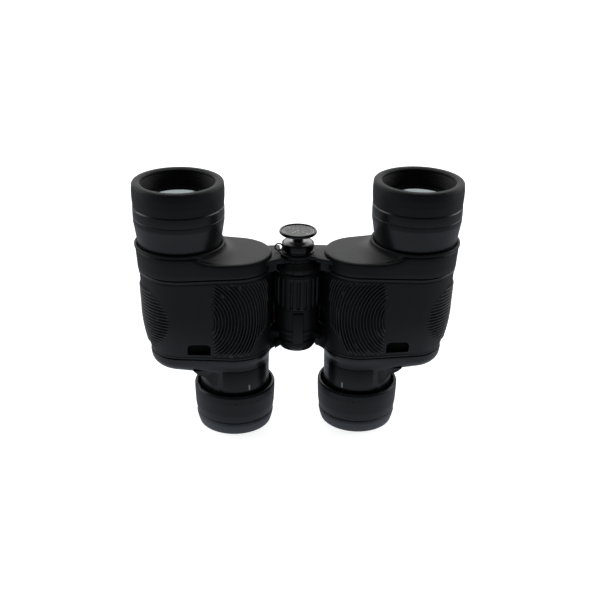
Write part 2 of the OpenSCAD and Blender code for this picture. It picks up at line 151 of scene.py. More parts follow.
class BINOCULARS_PG_finish(bpy.types.PropertyGroup):
    """Colours of the finishes"""
    rubber: colour("Rubber", "Armour and hoods", (0.014, 0.014, 0.015))
    eyecup: colour("Eyecup", "Soft eyecup rubber", (0.115, 0.120, 0.130))
    shell: colour("Shell", "Moulded covers", (0.014, 0.014, 0.014))
    enamel: colour("Enamel", "Semi-gloss tubes and turrets", (0.010, 0.0105, 0.0115))
    paint: colour("Paint", "Index marks", (0.92, 0.92, 0.90))
    coating: colour("Coating", "Reflection colour of the lens coating", (0.45, 0.62, 0.66))


class BINOCULARS_PG_studio(bpy.types.PropertyGroup):
    """Light and floor"""
    backlight: amount("Backlight", "Radiance of the rear softbox", 1.2)
    overhead: amount("Overhead", "Radiance of the overhead softbox", 1.0)
    bounce: amount("Bounce", "Light that comes up from the floor in front", 0.46)
    floor: colour("Floor", "Colour of the floor", (0.93, 0.93, 0.93))


# ---------- mesh helpers ----------

def mix(a, b, t):
    """The number a share t of the way from a to b."""
    return a + (b - a) * t


def rounded(corners, closed=True, steps=4):
    """A profile through corners (u, v, radius), each of them turned into an arc of its radius."""
    points = []
    count = len(corners)
    for i, (u, v, radius) in enumerate(corners):
        here = Vector((u, v))
        inner = closed or 0 < i < count - 1
        if radius <= 0 or not inner:
            points.append((u, v))
            continue
        before = Vector(corners[i - 1][:2]) - here
        after = Vector(corners[(i + 1) % count][:2]) - here
        turn = before.angle(after)
        if turn > math.pi - 0.02:
            points.append((u, v))
            continue
        cut = min(radius / math.tan(turn / 2), 0.48 * before.length, 0.48 * after.length)
        radius = cut * math.tan(turn / 2)
        start, end = before.normalized() * cut, after.normalized() * cut
        inward = (before.normalized() + after.normalized()).normalized()
        centre = inward * (radius / math.sin(turn / 2))
        sweep = math.pi - turn
        for k in range(steps + 1):
            t = k / steps
            spoke = ((start - centre) * math.sin((1 - t) * sweep)
                     + (end - centre) * math.sin(t * sweep)) / math.sin(sweep)
            points.append(tuple(here + centre + spoke))
    return points


def finish_mesh(name, mesh, sharp=38):
    """Turns a bmesh into an object with smooth faces and sharp creases."""
    bmesh.ops.remove_doubles(mesh, verts=mesh.verts, dist=0.002 * MM)
    bmesh.ops.dissolve_degenerate(mesh, edges=mesh.edges, dist=0.002 * MM)
    bmesh.ops.recalc_face_normals(mesh, faces=mesh.faces)
    data = bpy.data.meshes.new(name)
    mesh.to_mesh(data)
    mesh.free()
    piece = bpy.data.objects.new(name, data)
    bpy.context.scene.collection.objects.link(piece)
    smooth(piece, sharp)
    return piece


def smooth(piece, sharp=38):
    """Smooth shading, with the edges over an angle kept sharp."""
    mesh = bmesh.new()
    mesh.from_mesh(piece.data)
    for face in mesh.faces:
        face.smooth = True
    for edge in mesh.edges:
        edge.smooth = not (edge.is_manifold and edge.calc_face_angle(0) > math.radians(sharp))
    mesh.to_mesh(piece.data)
    mesh.free()


def around(centre, radius, angle, z):
    """The point at an angle and a distance from an upright axis."""
    return centre[0] + radius * math.cos(angle), centre[1] + radius * math.sin(angle), z


def shares(steps):
    """Even steps from 0 to 1, with both ends."""
    return [k / steps for k in range(steps + 1)]


def whole_turn(sides):
    """Angles all the way round."""
    return [2 * math.pi * k / sides for k in range(sides)]


def level(points, z):
    """Points (x, y) put at one height."""
    return [(x, y, z) for x, y in points]


def stretch(mesh, rings, loop=False, caps=False):
    """Adds faces over closed rings of points, which all have as many points, in millimetres."""
    rows = [[mesh.verts.new((x * MM, y * MM, z * MM)) for x, y, z in ring] for ring in rings]
    joined = list(zip(rows, rows[1:])) + ([(rows[-1], rows[0])] if loop else [])
    for low, high in joined:
        for i in range(len(low)):
            j = (i + 1) % len(low)
            mesh.faces.new((low[i], low[j], high[j], high[i]))
    if caps:
        mesh.faces.new(rows[0][::-1])
        mesh.faces.new(rows[-1])


def skin(name, rings, sign=1, loop=False, caps=False, sharp=38):
    """One piece stretched over rings, mirrored to the left barrel when sign is -1."""
    mesh = bmesh.new()
    stretch(mesh, [[(sign * x, y, z) for x, y, z in ring] for ring in rings], loop, caps)
    return finish_mesh(name, mesh, sharp)


def turned(name, profile, centre, sides=128, caps=False):
    """A piece turned about an upright axis from a profile of (radius, z)."""
    angles = whole_turn(sides)
    rings = [[around(centre, r, a, z) for a in angles] for r, z in profile]
    return skin(name, rings, loop=not caps, caps=caps)


def plate(name, corners, low, high, bevel):
    """A flat plate between two heights with softened edges; corners is a list of (x, y)."""
    mesh = bmesh.new()
    stretch(mesh, [level(corners, low), level(corners, high)], caps=True)
    bmesh.ops.recalc_face_normals(mesh, faces=mesh.faces)
    rim = [e for e in mesh.edges if len({round(v.co.z, 6) for v in e.verts}) == 1]
    bmesh.ops.bevel(mesh, geom=rim, offset=bevel * MM, segments=2, affect="EDGES", profile=0.6)
    return finish_mesh(name, mesh)


def bent(centre, start, end, steps, section):
    """Rings of a bar bent round an upright axis, from its (radius, z) profile at each step."""
    return [[around(centre, r, mix(start, end, k / steps), z) for r, z in section(k)]
            for k in range(steps + 1)]


def joined(first, *others):
    """Welds pieces into one solid with the boolean solver."""
    for other in others:
        combine(first, other, "UNION")
    return first


def combine(piece, tool, operation):
    """Adds a tool's solid to a piece, or cuts it out, and removes the tool."""
    step = piece.modifiers.new("combine", "BOOLEAN")
    step.operation = operation
    step.object = tool
    step.solver = "MANIFOLD"
    bpy.context.view_layer.update()
    evaluated = piece.evaluated_get(bpy.context.evaluated_depsgraph_get())
    mesh = bpy.data.meshes.new_from_object(evaluated)
    if not mesh.polygons:
        raise RuntimeError(f"{piece.name}: nothing was left after the {operation.lower()}")
    piece.modifiers.remove(step)
    old = piece.data
    piece.data = mesh
    mesh.name = piece.name
    bpy.data.meshes.remove(old)
    bpy.data.objects.remove(tool)
    smooth(piece)
    return piece


def settle(piece, body, slot, material, *stands_for):
    """Gives a piece its material, its body and the CAD nodes that it stands for."""
    piece.data.materials.clear()
    piece.data.materials.append(material)
    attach(piece, body)
    if stands_for:
        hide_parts(*stands_for)
    return piece


def open_window(piece, side, sign):
    """Cuts the window through which the focus arm reaches its cell, with room to travel."""
    arm = reach(f"{side}_focus_arm", Z)[0]
    low, high = arm - 1.5, arm + 2.5
    front, back = HINGE_Y - 3.4, HINGE_Y + 3.4
    opening = ((front, low), (back, low), (back, high), (front, high))
    ends = (EYE_X - LOBE_R - 1.5, TUBE_X - BORE_R + 6.5)
    block = [[(x, y, z) for y, z in opening] for x in ends]
    return combine(piece, skin("window", block, sign, caps=True), "DIFFERENCE")


# ---------- the housing's outline: a hull round three lobes ----------

def ease(t):
    """0 up to 0, 1 from 1 on, and a smooth step between."""
    t = min(1.0, max(0.0, t))
    return t * t * (3 - 2 * t)


def front_radius(z):
    """Radius of the objective lobe of the armour's outer face, which narrows to the heel."""
    if z > WAIST_Z:
        return mix(WAIST_R, SHOULDER_R, (z - WAIST_Z) / (SEAM_Z - WAIST_Z))
    t = (z - HEEL_Z) / (WAIST_Z - HEEL_Z)
    return mix(HEEL_R, WAIST_R, math.sin(t * math.pi / 2) ** 0.9)


# Points on each lobe, and on the straight that follows it.
ARC_STEPS = (56, 60, 8)
LINE_STEPS = (14, 7, 7)


def lobes(front, eye=LOBE_R, hump=LOBE_R):
    """Discs (x, y, radius) over the eyepiece, the objective and the prisms, counterclockwise."""
    return [(EYE_X, 0.0, eye), (TUBE_X, 0.0, front), (PRISM_X, HUMP_Y, hump)]


def tangent(a, b):
    """Angle of the outward normal of the line that runs from disc a on to disc b."""
    dx, dy = b[0] - a[0], b[1] - a[1]
    return math.atan2(dy, dx) - math.acos((a[2] - b[2]) / math.hypot(dx, dy))


def outline(discs, inset=0.0):
    """Points (x, y) of the hull round three discs, always as many, starting beside the hinge."""
    discs = [(x, y, r - inset) for x, y, r in discs]
    angles = [tangent(discs[i], discs[(i + 1) % 3]) for i in range(3)]
    points = []
    for i, (x, y, r) in enumerate(discs):
        start, end = angles[i - 1], angles[i]
        while end < start:
            end += 2 * math.pi
        for k in range(ARC_STEPS[i]):
            a = mix(start, end, k / ARC_STEPS[i])
            points.append((x + r * math.cos(a), y + r * math.sin(a)))
        ends = [(u + size * math.cos(end), v + size * math.sin(end))
                for u, v, size in (discs[i], discs[(i + 1) % 3])]
        for k in range(LINE_STEPS[i]):
            t = k / LINE_STEPS[i]
            points.append((mix(ends[0][0], ends[1][0], t), mix(ends[0][1], ends[1][1], t)))
    return points


def radial(points, centre, radius):
    """The points of a circle that lie in line with each outline point, seen from its centre."""
    found = []
    for x, y in points:
        a = math.atan2(y - centre[1], x - centre[0])
        found.append((centre[0] + radius * math.cos(a), centre[1] + radius * math.sin(a)))
    return found


# ---------- shader helpers ----------

class Value:
    """One output of a node. Arithmetic on it adds Math nodes to its tree."""

    def __init__(self, tree, made, output):
        self.tree = tree
        self.made = made
        self.output = output

    @property
    def socket(self):
        return self.made.outputs[self.output]

    def _math(self, operation, first, second):
        return self.tree.node("ShaderNodeMath", {"operation": operation}, first, second)

    def __add__(self, other):
        return self._math("ADD", self, other)

    def __sub__(self, other):
        return self._math("SUBTRACT", self, other)

    def __rsub__(self, other):
        return self._math("SUBTRACT", other, self)

    def __mul__(self, other):
        return self._math("MULTIPLY", self, other)

    def __truediv__(self, other):
        return self._math("DIVIDE", self, other)

    def __rtruediv__(self, other):
        return self._math("DIVIDE", other, self)

    __radd__ = __add__
    __rmul__ = __mul__

    def above(self, low, high):
        """0 at low, 1 at high, and a straight ramp between."""
        return self.tree.node("ShaderNodeClamp", {}, (self - low) / (high - low))


class Tree:
    """A node tree whose nodes all come from one method."""

    def __init__(self, tree):
        self.tree = tree
        tree.nodes.clear()

    def node(self, kind, settings, *values, output=0, **named):
        """Adds a node, sets it up, fills its sockets and gives one of its outputs."""
        made = self.tree.nodes.new(kind)
        for name, setting in settings.items():
            setattr(made, name, setting)
        for place, value in enumerate(values):
            self.feed(made.inputs[place], value)
        self.feed_named(made, named)
        return Value(self, made, output)

    def feed_named(self, made, named):
        """Fills sockets by name, with an underscore for each space in the name."""
        for name, value in named.items():
            self.feed(made.inputs[name.replace("_", " ")], value)

    def feed(self, socket, value):
        """Links a value to a socket, or sets the socket to a constant."""
        if isinstance(value, Value):
            self.tree.links.new(value.socket, socket)
        else:
            socket.default_value = value

    def blend(self, factor, low, high):
        """Mixes two colours, or a colour and a link, by a factor."""
        mixed = self.node("ShaderNodeMix", {"data_type": "RGBA"}, factor, output=2)
        for place, tint in ((6, low), (7, high)):
            self.feed(mixed.made.inputs[place], tint if isinstance(tint, Value) else (*tint, 1.0))
        return mixed


def tinted(colour, factor):
    """A colour made darker or lighter."""
    return tuple(min(1.0, c * factor) for c in colour)


class Finish(Tree):
    """A material with one Principled shader, built by adding nodes."""

    def __init__(self, name, **constants):
        self.material = bpy.data.materials.new(name)
        self.material.use_nodes = True
        super().__init__(self.material.node_tree)
        self.shader = self.node("ShaderNodeBsdfPrincipled", {}, **constants)
        self.node("ShaderNodeOutputMaterial", {}, self.shader)

    def shades(self, factor, colour, dark, light):
        """Mixes two shades of one colour by a factor."""
        return self.blend(factor, tinted(colour, dark), tinted(colour, light))

    def place(self):
        """Position in the object's own space, in millimetres."""
        here = self.node("ShaderNodeTexCoord", {}, output="Object")
        return self.node("ShaderNodeVectorMath", {"operation": "SCALE"}, here, Scale=1000.0)

    def grain(self, size, detail=2.0, roughness=0.5):
        """Noise from 0 to 1 whose blobs are about size millimetres across."""
        return self.node("ShaderNodeTexNoise", {}, Vector=self.place(), Scale=1.0 / size,
                         Detail=detail, Roughness=roughness)

    def cells(self, size):
        """Distance to the nearest of points strewn about size millimetres apart."""
        return self.node("ShaderNodeTexVoronoi", {}, Vector=self.place(), Scale=1.0 / size)

    def lathe_lines(self, scale, distortion):
        """The fine rings that a lathe leaves round an upright axis."""
        return self.node("ShaderNodeTexWave", {"bands_direction": "Z"}, Vector=self.place(),
                         Scale=scale, Distortion=distortion)

    def wear_and_painted_light(self, low=0.52, high=0.60):
        """Convex edges, which handling polishes and which carry a painted highlight on the armour's
        ribs, or grooves, which carry painted shade there, when low is over high.
        """
        return self.node("ShaderNodeNewGeometry", {}, output="Pointiness").above(low, high)

    def surface(self, colour, roughness, bump=None, strength=0.2, distance=0.1, **others):
        """Gives the shader what changes over the surface, with bumps of so many millimetres."""
        if bump is not None:
            others["Normal"] = self.node("ShaderNodeBump", {}, Strength=strength,
                                         Distance=distance * MM, Height=bump)
        self.feed_named(self.shader.made, {"Base_Color": colour, "Roughness": roughness, **others})
        return self.material


# Materials made so far, by name.
MADE = {}


def finish(**constants):
    """Turns a function of a Finish and the user's colours into one that makes its material once."""
    def wrap(maker):
        name = maker.__name__

        def once():
            if name not in MADE:
                MADE[name] = maker(Finish(name, **constants), bpy.context.scene.binoculars_finish)
            return MADE[name]
        return once
    return wrap


@finish(Specular_IOR_Level=0.42, Coat_Roughness=0.32)
def armour_rubber(f, colours):
    blotch = f.grain(14.0, 3.0)
    speck = f.grain(0.35)
    colour = f.shades(blotch * 0.6 + speck * 0.4, colours.rubber, 0.72, 1.35)
    dust = f.grain(2.2, 5.0, 0.7).above(0.60, 0.76) * 0.10
    colour = f.blend(dust, colour, (0.10, 0.10, 0.10))
    crest, groove = f.wear_and_painted_light(0.53, 0.58), f.wear_and_painted_light(0.49, 0.45)
    # Painted highlight: the rib crests are coloured three times lighter, in place of the light that
    # catches them.
    colour = f.blend(crest * 0.85, colour, tinted(colours.rubber, 3.0))
    # Painted shade: the grooves between the ribs are coloured much darker, in place of the shade that
    # falls in them.
    colour = f.blend(groove * 0.8, colour, tinted(colours.rubber, 0.15))
    shine = 0.46 + f.grain(5.0, 3.0) * 0.12 - crest * 0.08 + groove * 0.3
    return f.surface(colour, shine, speck, 0.22, 0.05, Coat_Weight=crest * 0.5)


@finish(Specular_IOR_Level=0.30, Sheen_Weight=0.03, Sheen_Roughness=0.35)
def hood_rubber(f, colours):
    speck = f.grain(0.28)
    patch = f.grain(10.0, 4.0, 0.6)
    colour = f.shades(patch * 0.7 + speck * 0.3, colours.rubber, 0.8, 1.5)
    scuff = (f.grain(1.2, 4.0, 0.75).above(0.58, 0.7) * f.wear_and_painted_light(0.51, 0.58)) * 0.25
    colour = f.blend(scuff, colour, (0.09, 0.088, 0.084))
    return f.surface(colour, 0.46 + patch * 0.16, speck, 0.16, 0.05)


@finish(Specular_IOR_Level=0.4, Sheen_Weight=0.1, Sheen_Roughness=0.45)
def cup_rubber(f, colours):
    speck = f.grain(0.3, 3.0)
    patch = f.grain(7.0, 3.0)
    colour = f.shades(patch * 0.7 + speck * 0.3, colours.eyecup, 0.8, 1.3)
    return f.surface(colour, 0.50 + patch * 0.12, speck, 0.25, 0.06)


@finish(Specular_IOR_Level=0.34)
def cover_shell(f, colours):
    speck = f.cells(0.42)
    patch = f.grain(16.0, 3.0)
    colour = f.shades(patch, colours.shell, 0.8, 1.3)
    dust = f.grain(1.6, 5.0, 0.7).above(0.62, 0.78) * 0.08
    colour = f.blend(dust, colour, (0.12, 0.118, 0.11))
    shine = 0.40 + patch * 0.10 + speck * 0.06 - f.wear_and_painted_light() * 0.08
    return f.surface(colour, shine, speck, 0.12, 0.04)


@finish(Specular_IOR_Level=0.42, Coat_Roughness=0.18)
def tube_enamel(f, colours):
    patch = f.grain(12.0, 3.0)
    peel = f.grain(1.4)
    colour = f.shades(patch, colours.enamel, 0.8, 1.3)
    shine = 0.27 + patch * 0.08 + peel * 0.03
    return f.surface(colour, shine, peel, 0.05, 0.08, Coat_Weight=patch * 0.3)


@finish(Specular_IOR_Level=0.45)
def ring_plastic(f, colours):
    speck = f.cells(0.36)
    patch = f.grain(9.0, 3.0)
    colour = f.shades(patch, colours.enamel, 1.1, 1.8)
    return f.surface(colour, 0.36 + patch * 0.1 - f.wear_and_painted_light() * 0.08, speck, 0.12, 0.04)


@finish(Specular_IOR_Level=0.4, Coat_Roughness=0.08)
def gloss_plastic(f, colours):
    patch = f.grain(6.0, 3.0)
    swirl = f.grain(0.5)
    colour = f.shades(patch, colours.enamel, 0.3, 0.6)
    return f.surface(colour, 0.2 + patch * 0.08, swirl, 0.03, 0.04, Coat_Weight=patch * 0.5)


@finish(Specular_IOR_Level=0.42)
def wheel_rubber(f, colours):
    speck = f.grain(0.3)
    patch = f.grain(6.0, 3.0)
    colour = f.shades(patch, colours.rubber, 0.6, 1.0)
    colour = f.blend(f.wear_and_painted_light(0.51, 0.56) * 0.35, colour, tinted(colours.rubber, 2.2))
    return f.surface(colour, 0.48 - f.wear_and_painted_light() * 0.1, speck, 0.15, 0.04)


@finish(Specular_IOR_Level=0.2)
def dark_inside(f, colours):
    speck = f.grain(0.4, 3.0)
    colour = f.blend(speck, (0.003, 0.003, 0.003), (0.007, 0.007, 0.0065))
    return f.surface(colour, 0.75 + speck * 0.15, speck, 0.3, 0.08)


@finish(Specular_IOR_Level=0.4)
def black_anodised(f, colours):
    lathe = f.lathe_lines(1.6, 0.4)
    colour = f.blend(lathe, (0.006, 0.006, 0.007), (0.013, 0.013, 0.014))
    return f.surface(colour, 0.34 + lathe * 0.14, lathe, 0.12, 0.03)


@finish(Specular_IOR_Level=0.5)
def cast_alloy(f, colours):
    pits = f.grain(0.5, 4.0, 0.7)
    colour = f.blend(pits, (0.10, 0.10, 0.105), (0.2, 0.2, 0.21))
    return f.surface(colour, 0.42 + pits * 0.2, pits, 0.5, 0.08, Metallic=0.85)


@finish(Metallic=1.0)
def spring_steel(f, colours):
    drawn = f.node("ShaderNodeMapping", {}, f.place(), Scale=(0.3, 6.0, 6.0))
    streak = f.node("ShaderNodeTexNoise", {}, Vector=drawn, Scale=1.0, Detail=3.0)
    colour = f.blend(streak, (0.42, 0.42, 0.42), (0.66, 0.66, 0.67))
    return f.surface(colour, 0.26 + streak * 0.18, streak, 0.1, 0.02)


@finish(Metallic=1.0)
def dark_wire(f, colours):
    tarnish = f.grain(1.1, 3.0)
    colour = f.blend(tarnish, (0.04, 0.04, 0.042), (0.11, 0.11, 0.11))
    return f.surface(colour, 0.3 + tarnish * 0.2, tarnish, 0.1, 0.03)


@finish(Metallic=1.0)
def turned_brass(f, colours):
    lathe = f.lathe_lines(2.4, 0.3)
    tarnish = f.grain(3.0, 4.0)
    colour = f.blend(tarnish, (0.45, 0.33, 0.13), (0.72, 0.56, 0.27))
    return f.surface(colour, 0.24 + tarnish * 0.2, lathe, 0.15, 0.02)


@finish(Metallic=1.0)
def stamped_metal(f, colours):
    frost = f.grain(0.22, 3.0, 0.6)
    patch = f.grain(4.0, 3.0)
    colour = f.blend(patch * 0.6 + frost * 0.4, (0.30, 0.30, 0.29), (0.46, 0.46, 0.45))
    return f.surface(colour, 0.34 + frost * 0.2, frost, 0.2, 0.03)


@finish(Metallic=1.0)
def smoked_inlay(f, colours):
    frost = f.grain(0.22, 3.0, 0.6)
    patch = f.grain(4.0, 3.0)
    colour = f.blend(patch * 0.6 + frost * 0.4, (0.10, 0.10, 0.10), (0.17, 0.17, 0.17))
    colour = f.blend(f.wear_and_painted_light(0.50, 0.53), colour, (0.42, 0.42, 0.41))
    return f.surface(colour, 0.36 + frost * 0.2, frost, 0.2, 0.03)


@finish(Specular_IOR_Level=0.5)
def inlaid_paint(f, colours):
    chips = f.grain(0.5, 4.0, 0.7)
    colour = f.blend(chips.above(0.35, 0.75) * 0.35, colours.paint, tinted(colours.paint, 0.7))
    return f.surface(colour, 0.42 + chips * 0.15, chips, 0.1, 0.03)


@finish(Specular_IOR_Level=0.3)
def scale_paint(f, colours):
    chips = f.grain(0.4, 3.0)
    colour = f.blend(chips, (0.004, 0.004, 0.004), (0.010, 0.010, 0.010))
    return f.surface(colour, 0.6 + chips * 0.2, chips, 0.1, 0.03)


@finish(Transmission_Weight=1.0, IOR=1.52, Coat_IOR=1.9, Coat_Roughness=0.02)
def coated_glass(f, colours):
    smear = f.grain(9.0, 4.0, 0.6)
    colour = f.blend(smear, (0.80, 0.86, 0.86), (0.92, 0.95, 0.95))
    return f.surface(colour, smear.above(0.45, 0.9) * 0.05, Coat_Weight=0.9 + smear * 0.1,
                     Coat_Tint=(*colours.coating, 1.0))


@finish(Metallic=1.0)
def polished_bevel(f, colours):
    haze = f.grain(2.5, 4.0, 0.6)
    colour = f.blend(haze, (0.26, 0.30, 0.31), (0.40, 0.44, 0.44))
    return f.surface(colour, 0.10 + haze * 0.10, haze, 0.04, 0.02)


@finish(Transmission_Weight=1.0, IOR=1.57)
def prism_glass(f, colours):
    frost = f.grain(0.3, 3.0)
    colour = f.blend(frost, (0.80, 0.86, 0.86), (0.90, 0.94, 0.94))
    return f.surface(colour, 0.05 + frost.above(0.5, 0.9) * 0.2)


@finish(Specular_IOR_Level=0.4)
def seal_rubber(f, colours):
    speck = f.grain(0.5, 3.0)
    colour = f.blend(speck, (0.010, 0.010, 0.010), (0.022, 0.021, 0.021))
    return f.surface(colour, 0.45 + speck * 0.15, speck, 0.15, 0.04)


# ---------- objective end ----------

def make_hood(side, sign):
    """Rubber hood: a rounded rim that slopes inward, a slight bulge, and baffle ridges inside."""
    pitch = bpy.context.scene.binoculars_shape.baffle / MM
    rim = MOUTH_Z
    bore = BORE_R + 0.05
    profile = rounded([
        (HOOD_R - 0.4, HOOD_Z - 0.1, 0.45), (HOOD_R - 0.05, HOOD_Z + 4.5, 6.0),
        (HOOD_R, rim - 5.0, 5.0), (HOOD_R - 0.35, rim - 0.1, 2.3), (HOOD_R - 3.4, rim, 0.8),
        (bore, rim - 0.75, 0.5), (bore, rim - 2.0, 0.2)], closed=False, steps=6)
    z = rim - 2.3
    while z - pitch > HOOD_Z + 0.6:
        profile += [(bore + 0.4, z), (bore, z - pitch * 0.55), (bore + 0.07, z - pitch * 0.7)]
        z -= pitch
    profile.append((bore + 0.4, HOOD_Z + 0.15))
    piece = turned(f"{side}_hood_rubber", profile, (sign * TUBE_X, 0), 160)
    settle(piece, f"{side}_barrel", "hood_rubber", hood_rubber(), f"{side}_hood")


def make_tube(side, sign):
    """Objective tube: a plain band, a shallow step and a smooth taper into the cover's collar."""
    foot, top = SEAM_Z + 6.0, HOOD_Z
    taper, band, line = 23.0, 24.95, 24.75
    profile = rounded([
        (BORE_R, foot, 0), (taper, foot, 0.2), (taper, COLLAR_Z, 1.0), (23.75, COLLAR_Z + 5.2, 16.0),
        (24.35, COLLAR_Z + 9.2, 14.0), (24.9, COLLAR_Z + 12.6, 4.0), (band, top - 6.3, 0.15),
        (line, top - 6.15, 0.1), (line, top - 5.85, 0.1), (25.0, top - 5.7, 0.15),
        (band, top - 0.9, 0.3), (24.6, top - 0.3, 0.2), (24.3, top, 0.1), (BORE_R, top, 0.2)],
        closed=False, steps=5)
    pitch = 1.5
    z = top - 0.8
    while z - pitch > foot + 6:
        profile += [(BORE_R, z), (BORE_R + 0.4, z - 0.2), (BORE_R + 0.4, z - 0.5), (BORE_R, z - 0.7)]
        z -= pitch
    piece = turned(f"{side}_tube", profile, (sign * TUBE_X, 0), 160)
    settle(piece, f"{side}_barrel", "tube_plastic", tube_enamel(), f"{side}_objective_tube")


def make_lens(side, sign):
    """Objective lens: a shallow dome of glass inside a polished bevel that faces the axis."""
    node = f"{side}_objective_lens"
    low = reach(node, Z)[0]
    seat = HOOD_Z + 1.1
    axis = (sign * TUBE_X, 0)
    profile = [(mix(14.2, 0.001, t), seat - 0.5 + 2.3 * (1 - (1 - t) ** 2)) for t in shares(10)]
    profile += [(mix(0.001, 17.6, t), low + 1.2 - 0.8 * (1 - t ** 2)) for t in shares(10)]
    profile += [(17.8, low + 1.4), (17.8, seat - 0.9)]
    settle(turned(f"{side}_domed_lens", profile, axis), f"{side}_objective", "coated_glass",
           coated_glass(), node)
    slope = [(mix(13.6, 18.0, t), seat - 0.45 + 2.4 * t ** 1.1) for t in shares(6)]
    slope += [(18.0, seat - 0.8), (13.6, seat - 0.8)]
    settle(turned(f"{side}_lens_bevel", slope, axis), f"{side}_objective", "coated_glass",
           polished_bevel())


def collar_radius(z):
    """Radius of the front cover's objective lobe, which widens a little up to its collar."""
    return mix(SHOULDER_R, SHOULDER_R + 1.35, (z - SEAM_Z) / (COLLAR_Z - SEAM_Z))


def climb(x, y, inset=0.0):
    """Height over the shelf of a point near the collar: a concave sweep up to the collar's wall."""
    sweep = 8.8
    gap = max(math.hypot(x - TUBE_X, y) - collar_radius(COLLAR_Z) + inset, 0.0)
    if gap >= sweep:
        return 0.0
    t = 1 - gap / sweep
    return (COLLAR_Z - 1.4 - SHELF_Z) * (1 - math.sqrt(max(0.0, 1 - t ** 2.4)))


def make_front_cover(side, sign):
    """Front cover: a shelf over the eyepiece lobe that sweeps up into the collar round the tube."""
    seam = bpy.context.scene.binoculars_shape.seam / MM
    axis = (TUBE_X, 0.0)
    edge = 1.5
    bore = 23.08
    foot = SEAM_Z + seam
    rings = [level(outline(lobes(SHOULDER_R), inset), foot + rise)
             for inset, rise in ((2.2, 0.0), (0.35, 0.0), (0.1, 0.15), (0.0, 0.45))]
    flare = lobes(collar_radius(SHELF_Z))
    low = rings[-1]
    high = [(x, y, SHELF_Z - edge + climb(x, y)) for x, y in outline(flare)]
    for t in (0.3, 0.65, 1.0):
        rings.append([tuple(mix(a, b, t) for a, b in zip(*pair)) for pair in zip(low, high)])
    for k in range(1, 6):
        a = k / 5 * math.pi / 2
        inset = edge * (1 - math.cos(a))
        rings.append([(x, y, SHELF_Z - edge + edge * math.sin(a) + climb(x, y, inset * 0.6))
                      for x, y in outline(flare, inset)])
    rim = [(x, y) for x, y, _ in rings[-1]]
    lip = collar_radius(COLLAR_Z)
    wall = radial(rim, axis, lip - 0.02)
    for k in range(1, 15):
        t = 1 - (1 - k / 14) ** 1.5
        inward = [(mix(x0, x1, t), mix(y0, y1, t)) for (x0, y0), (x1, y1) in zip(rim, wall)]
        rings.append([(x, y, SHELF_Z + climb(x, y)) for x, y in inward])
    collar = rounded([(lip, COLLAR_Z - 1.2, 0), (lip, COLLAR_Z, 0.35), (lip - 0.95, COLLAR_Z, 0.3),
                      (bore + 0.04, COLLAR_Z - 0.7, 0.2), (bore, COLLAR_Z - 6, 0), (bore, foot, 0)],
                     closed=False, steps=3)
    rings += [level(radial(rim, axis, r), z) for r, z in collar[1:]]
    return skin(f"{side}_front_cover_shell", rings, sign, loop=True)


def scallop(x):
    """How far the bridge's edge lies from the hinge line, which grows towards the barrel."""
    return BRIDGE_HALF + 7.0 * (x / BRIDGE_END) ** 2.2


def back_edge(x):
    """The same behind the hinge, where the bridge runs almost straight into the barrel."""
    return BRIDGE_HALF - 1.4 * (x / BRIDGE_END) ** 2


def web(name, sign, start, low, high, bevel, inner=(), inset=0.0):
    """Part of the bridge plate, from a distance off the hinge out to its barrel."""
    across = [mix(start, BRIDGE_END, t) for t in shares(16)]
    lower = [(x, HINGE_Y - scallop(x) + inset) for x in across]
    upper = [(x, HINGE_Y + back_edge(x) - inset) for x in across[::-1]]
    corners = [(sign * x, y) for x, y in [*lower, *upper, *inner]]
    return plate(name, corners, low, high, bevel)


def skirt(name, sign, start, edge, thickness):
    """A wall that hangs under the bridge plate along one of its edges."""
    across = [mix(start, BRIDGE_END, t) for t in shares(12)]
    line = [(sign * x, HINGE_Y + edge(x)) for x in across]
    wall = line + [(x, y + thickness) for x, y in line[::-1]]
    return plate(name, wall, SEAM_Z - 1.2, BRIDGE_TOP - 1.6, 0.3)


def make_cover(side, sign):
    """Front cover with its hinge knuckle and bridge plate, welded into one shell."""
    shell = make_front_cover(side, sign)
    if side == "left":
        low, high = BRIDGE_TOP - 3.75, BRIDGE_TOP - 1.95
    else:
        low, high = BRIDGE_TOP - 1.8, BRIDGE_TOP
    bore, face = 3.3, 10.4
    section = rounded([(bore, low, 0), (face, low, 0.25), (face, high, 0.3), (bore, high, 0)],
                      steps=3)
    disc = turned("knuckle", section, HINGE, 112)
    neck = web("neck", sign, 5.0, low, high, 0.2, inset=1.3)
    hollow = [around(HINGE, face + 0.5, math.radians(26 - 52 * t), 0)[:2] for t in shares(12)]
    root = web("root", sign, 9.8, BRIDGE_TOP - 2.3, BRIDGE_TOP, 0.3, inner=hollow)
    front = skirt("front skirt", sign, 12.3, lambda x: 1.9 - scallop(x), 2.0)
    rear = skirt("rear skirt", sign, 12.6, lambda x: back_edge(x) - 0.9, -2.0)
    piece = open_window(joined(shell, root, disc, neck, front, rear), side, sign)
    settle(piece, f"{side}_barrel", "cover_plastic", cover_shell(), f"{side}_front_cover")


# ---------- armour ----------

def surface_point(s, z, drop):
    """Point and outward normal on the front face, a distance s from the cut towards the hinge."""
    discs = [(x, y, r - drop) for x, y, r in lobes(front_radius(z))]
    a = tangent(discs[0], discs[1])
    eye_x, _, eye_r = discs[0]
    normal = Vector(around((0, 0), 1, a, 0))
    foot = Vector((eye_x, 0, 0)) + normal * eye_r
    along = Vector((-math.sin(a), math.cos(a), 0))
    straight = (CUT_X - foot.x) / along.x
    if s < straight:
        spot = foot + along * (straight - s)
    else:
        a -= (s - straight) / eye_r
        normal = Vector(around((0, 0), 1, a, 0))
        spot = Vector((eye_x, 0, 0)) + normal * eye_r
    return Vector((spot.x, spot.y, z)), normal


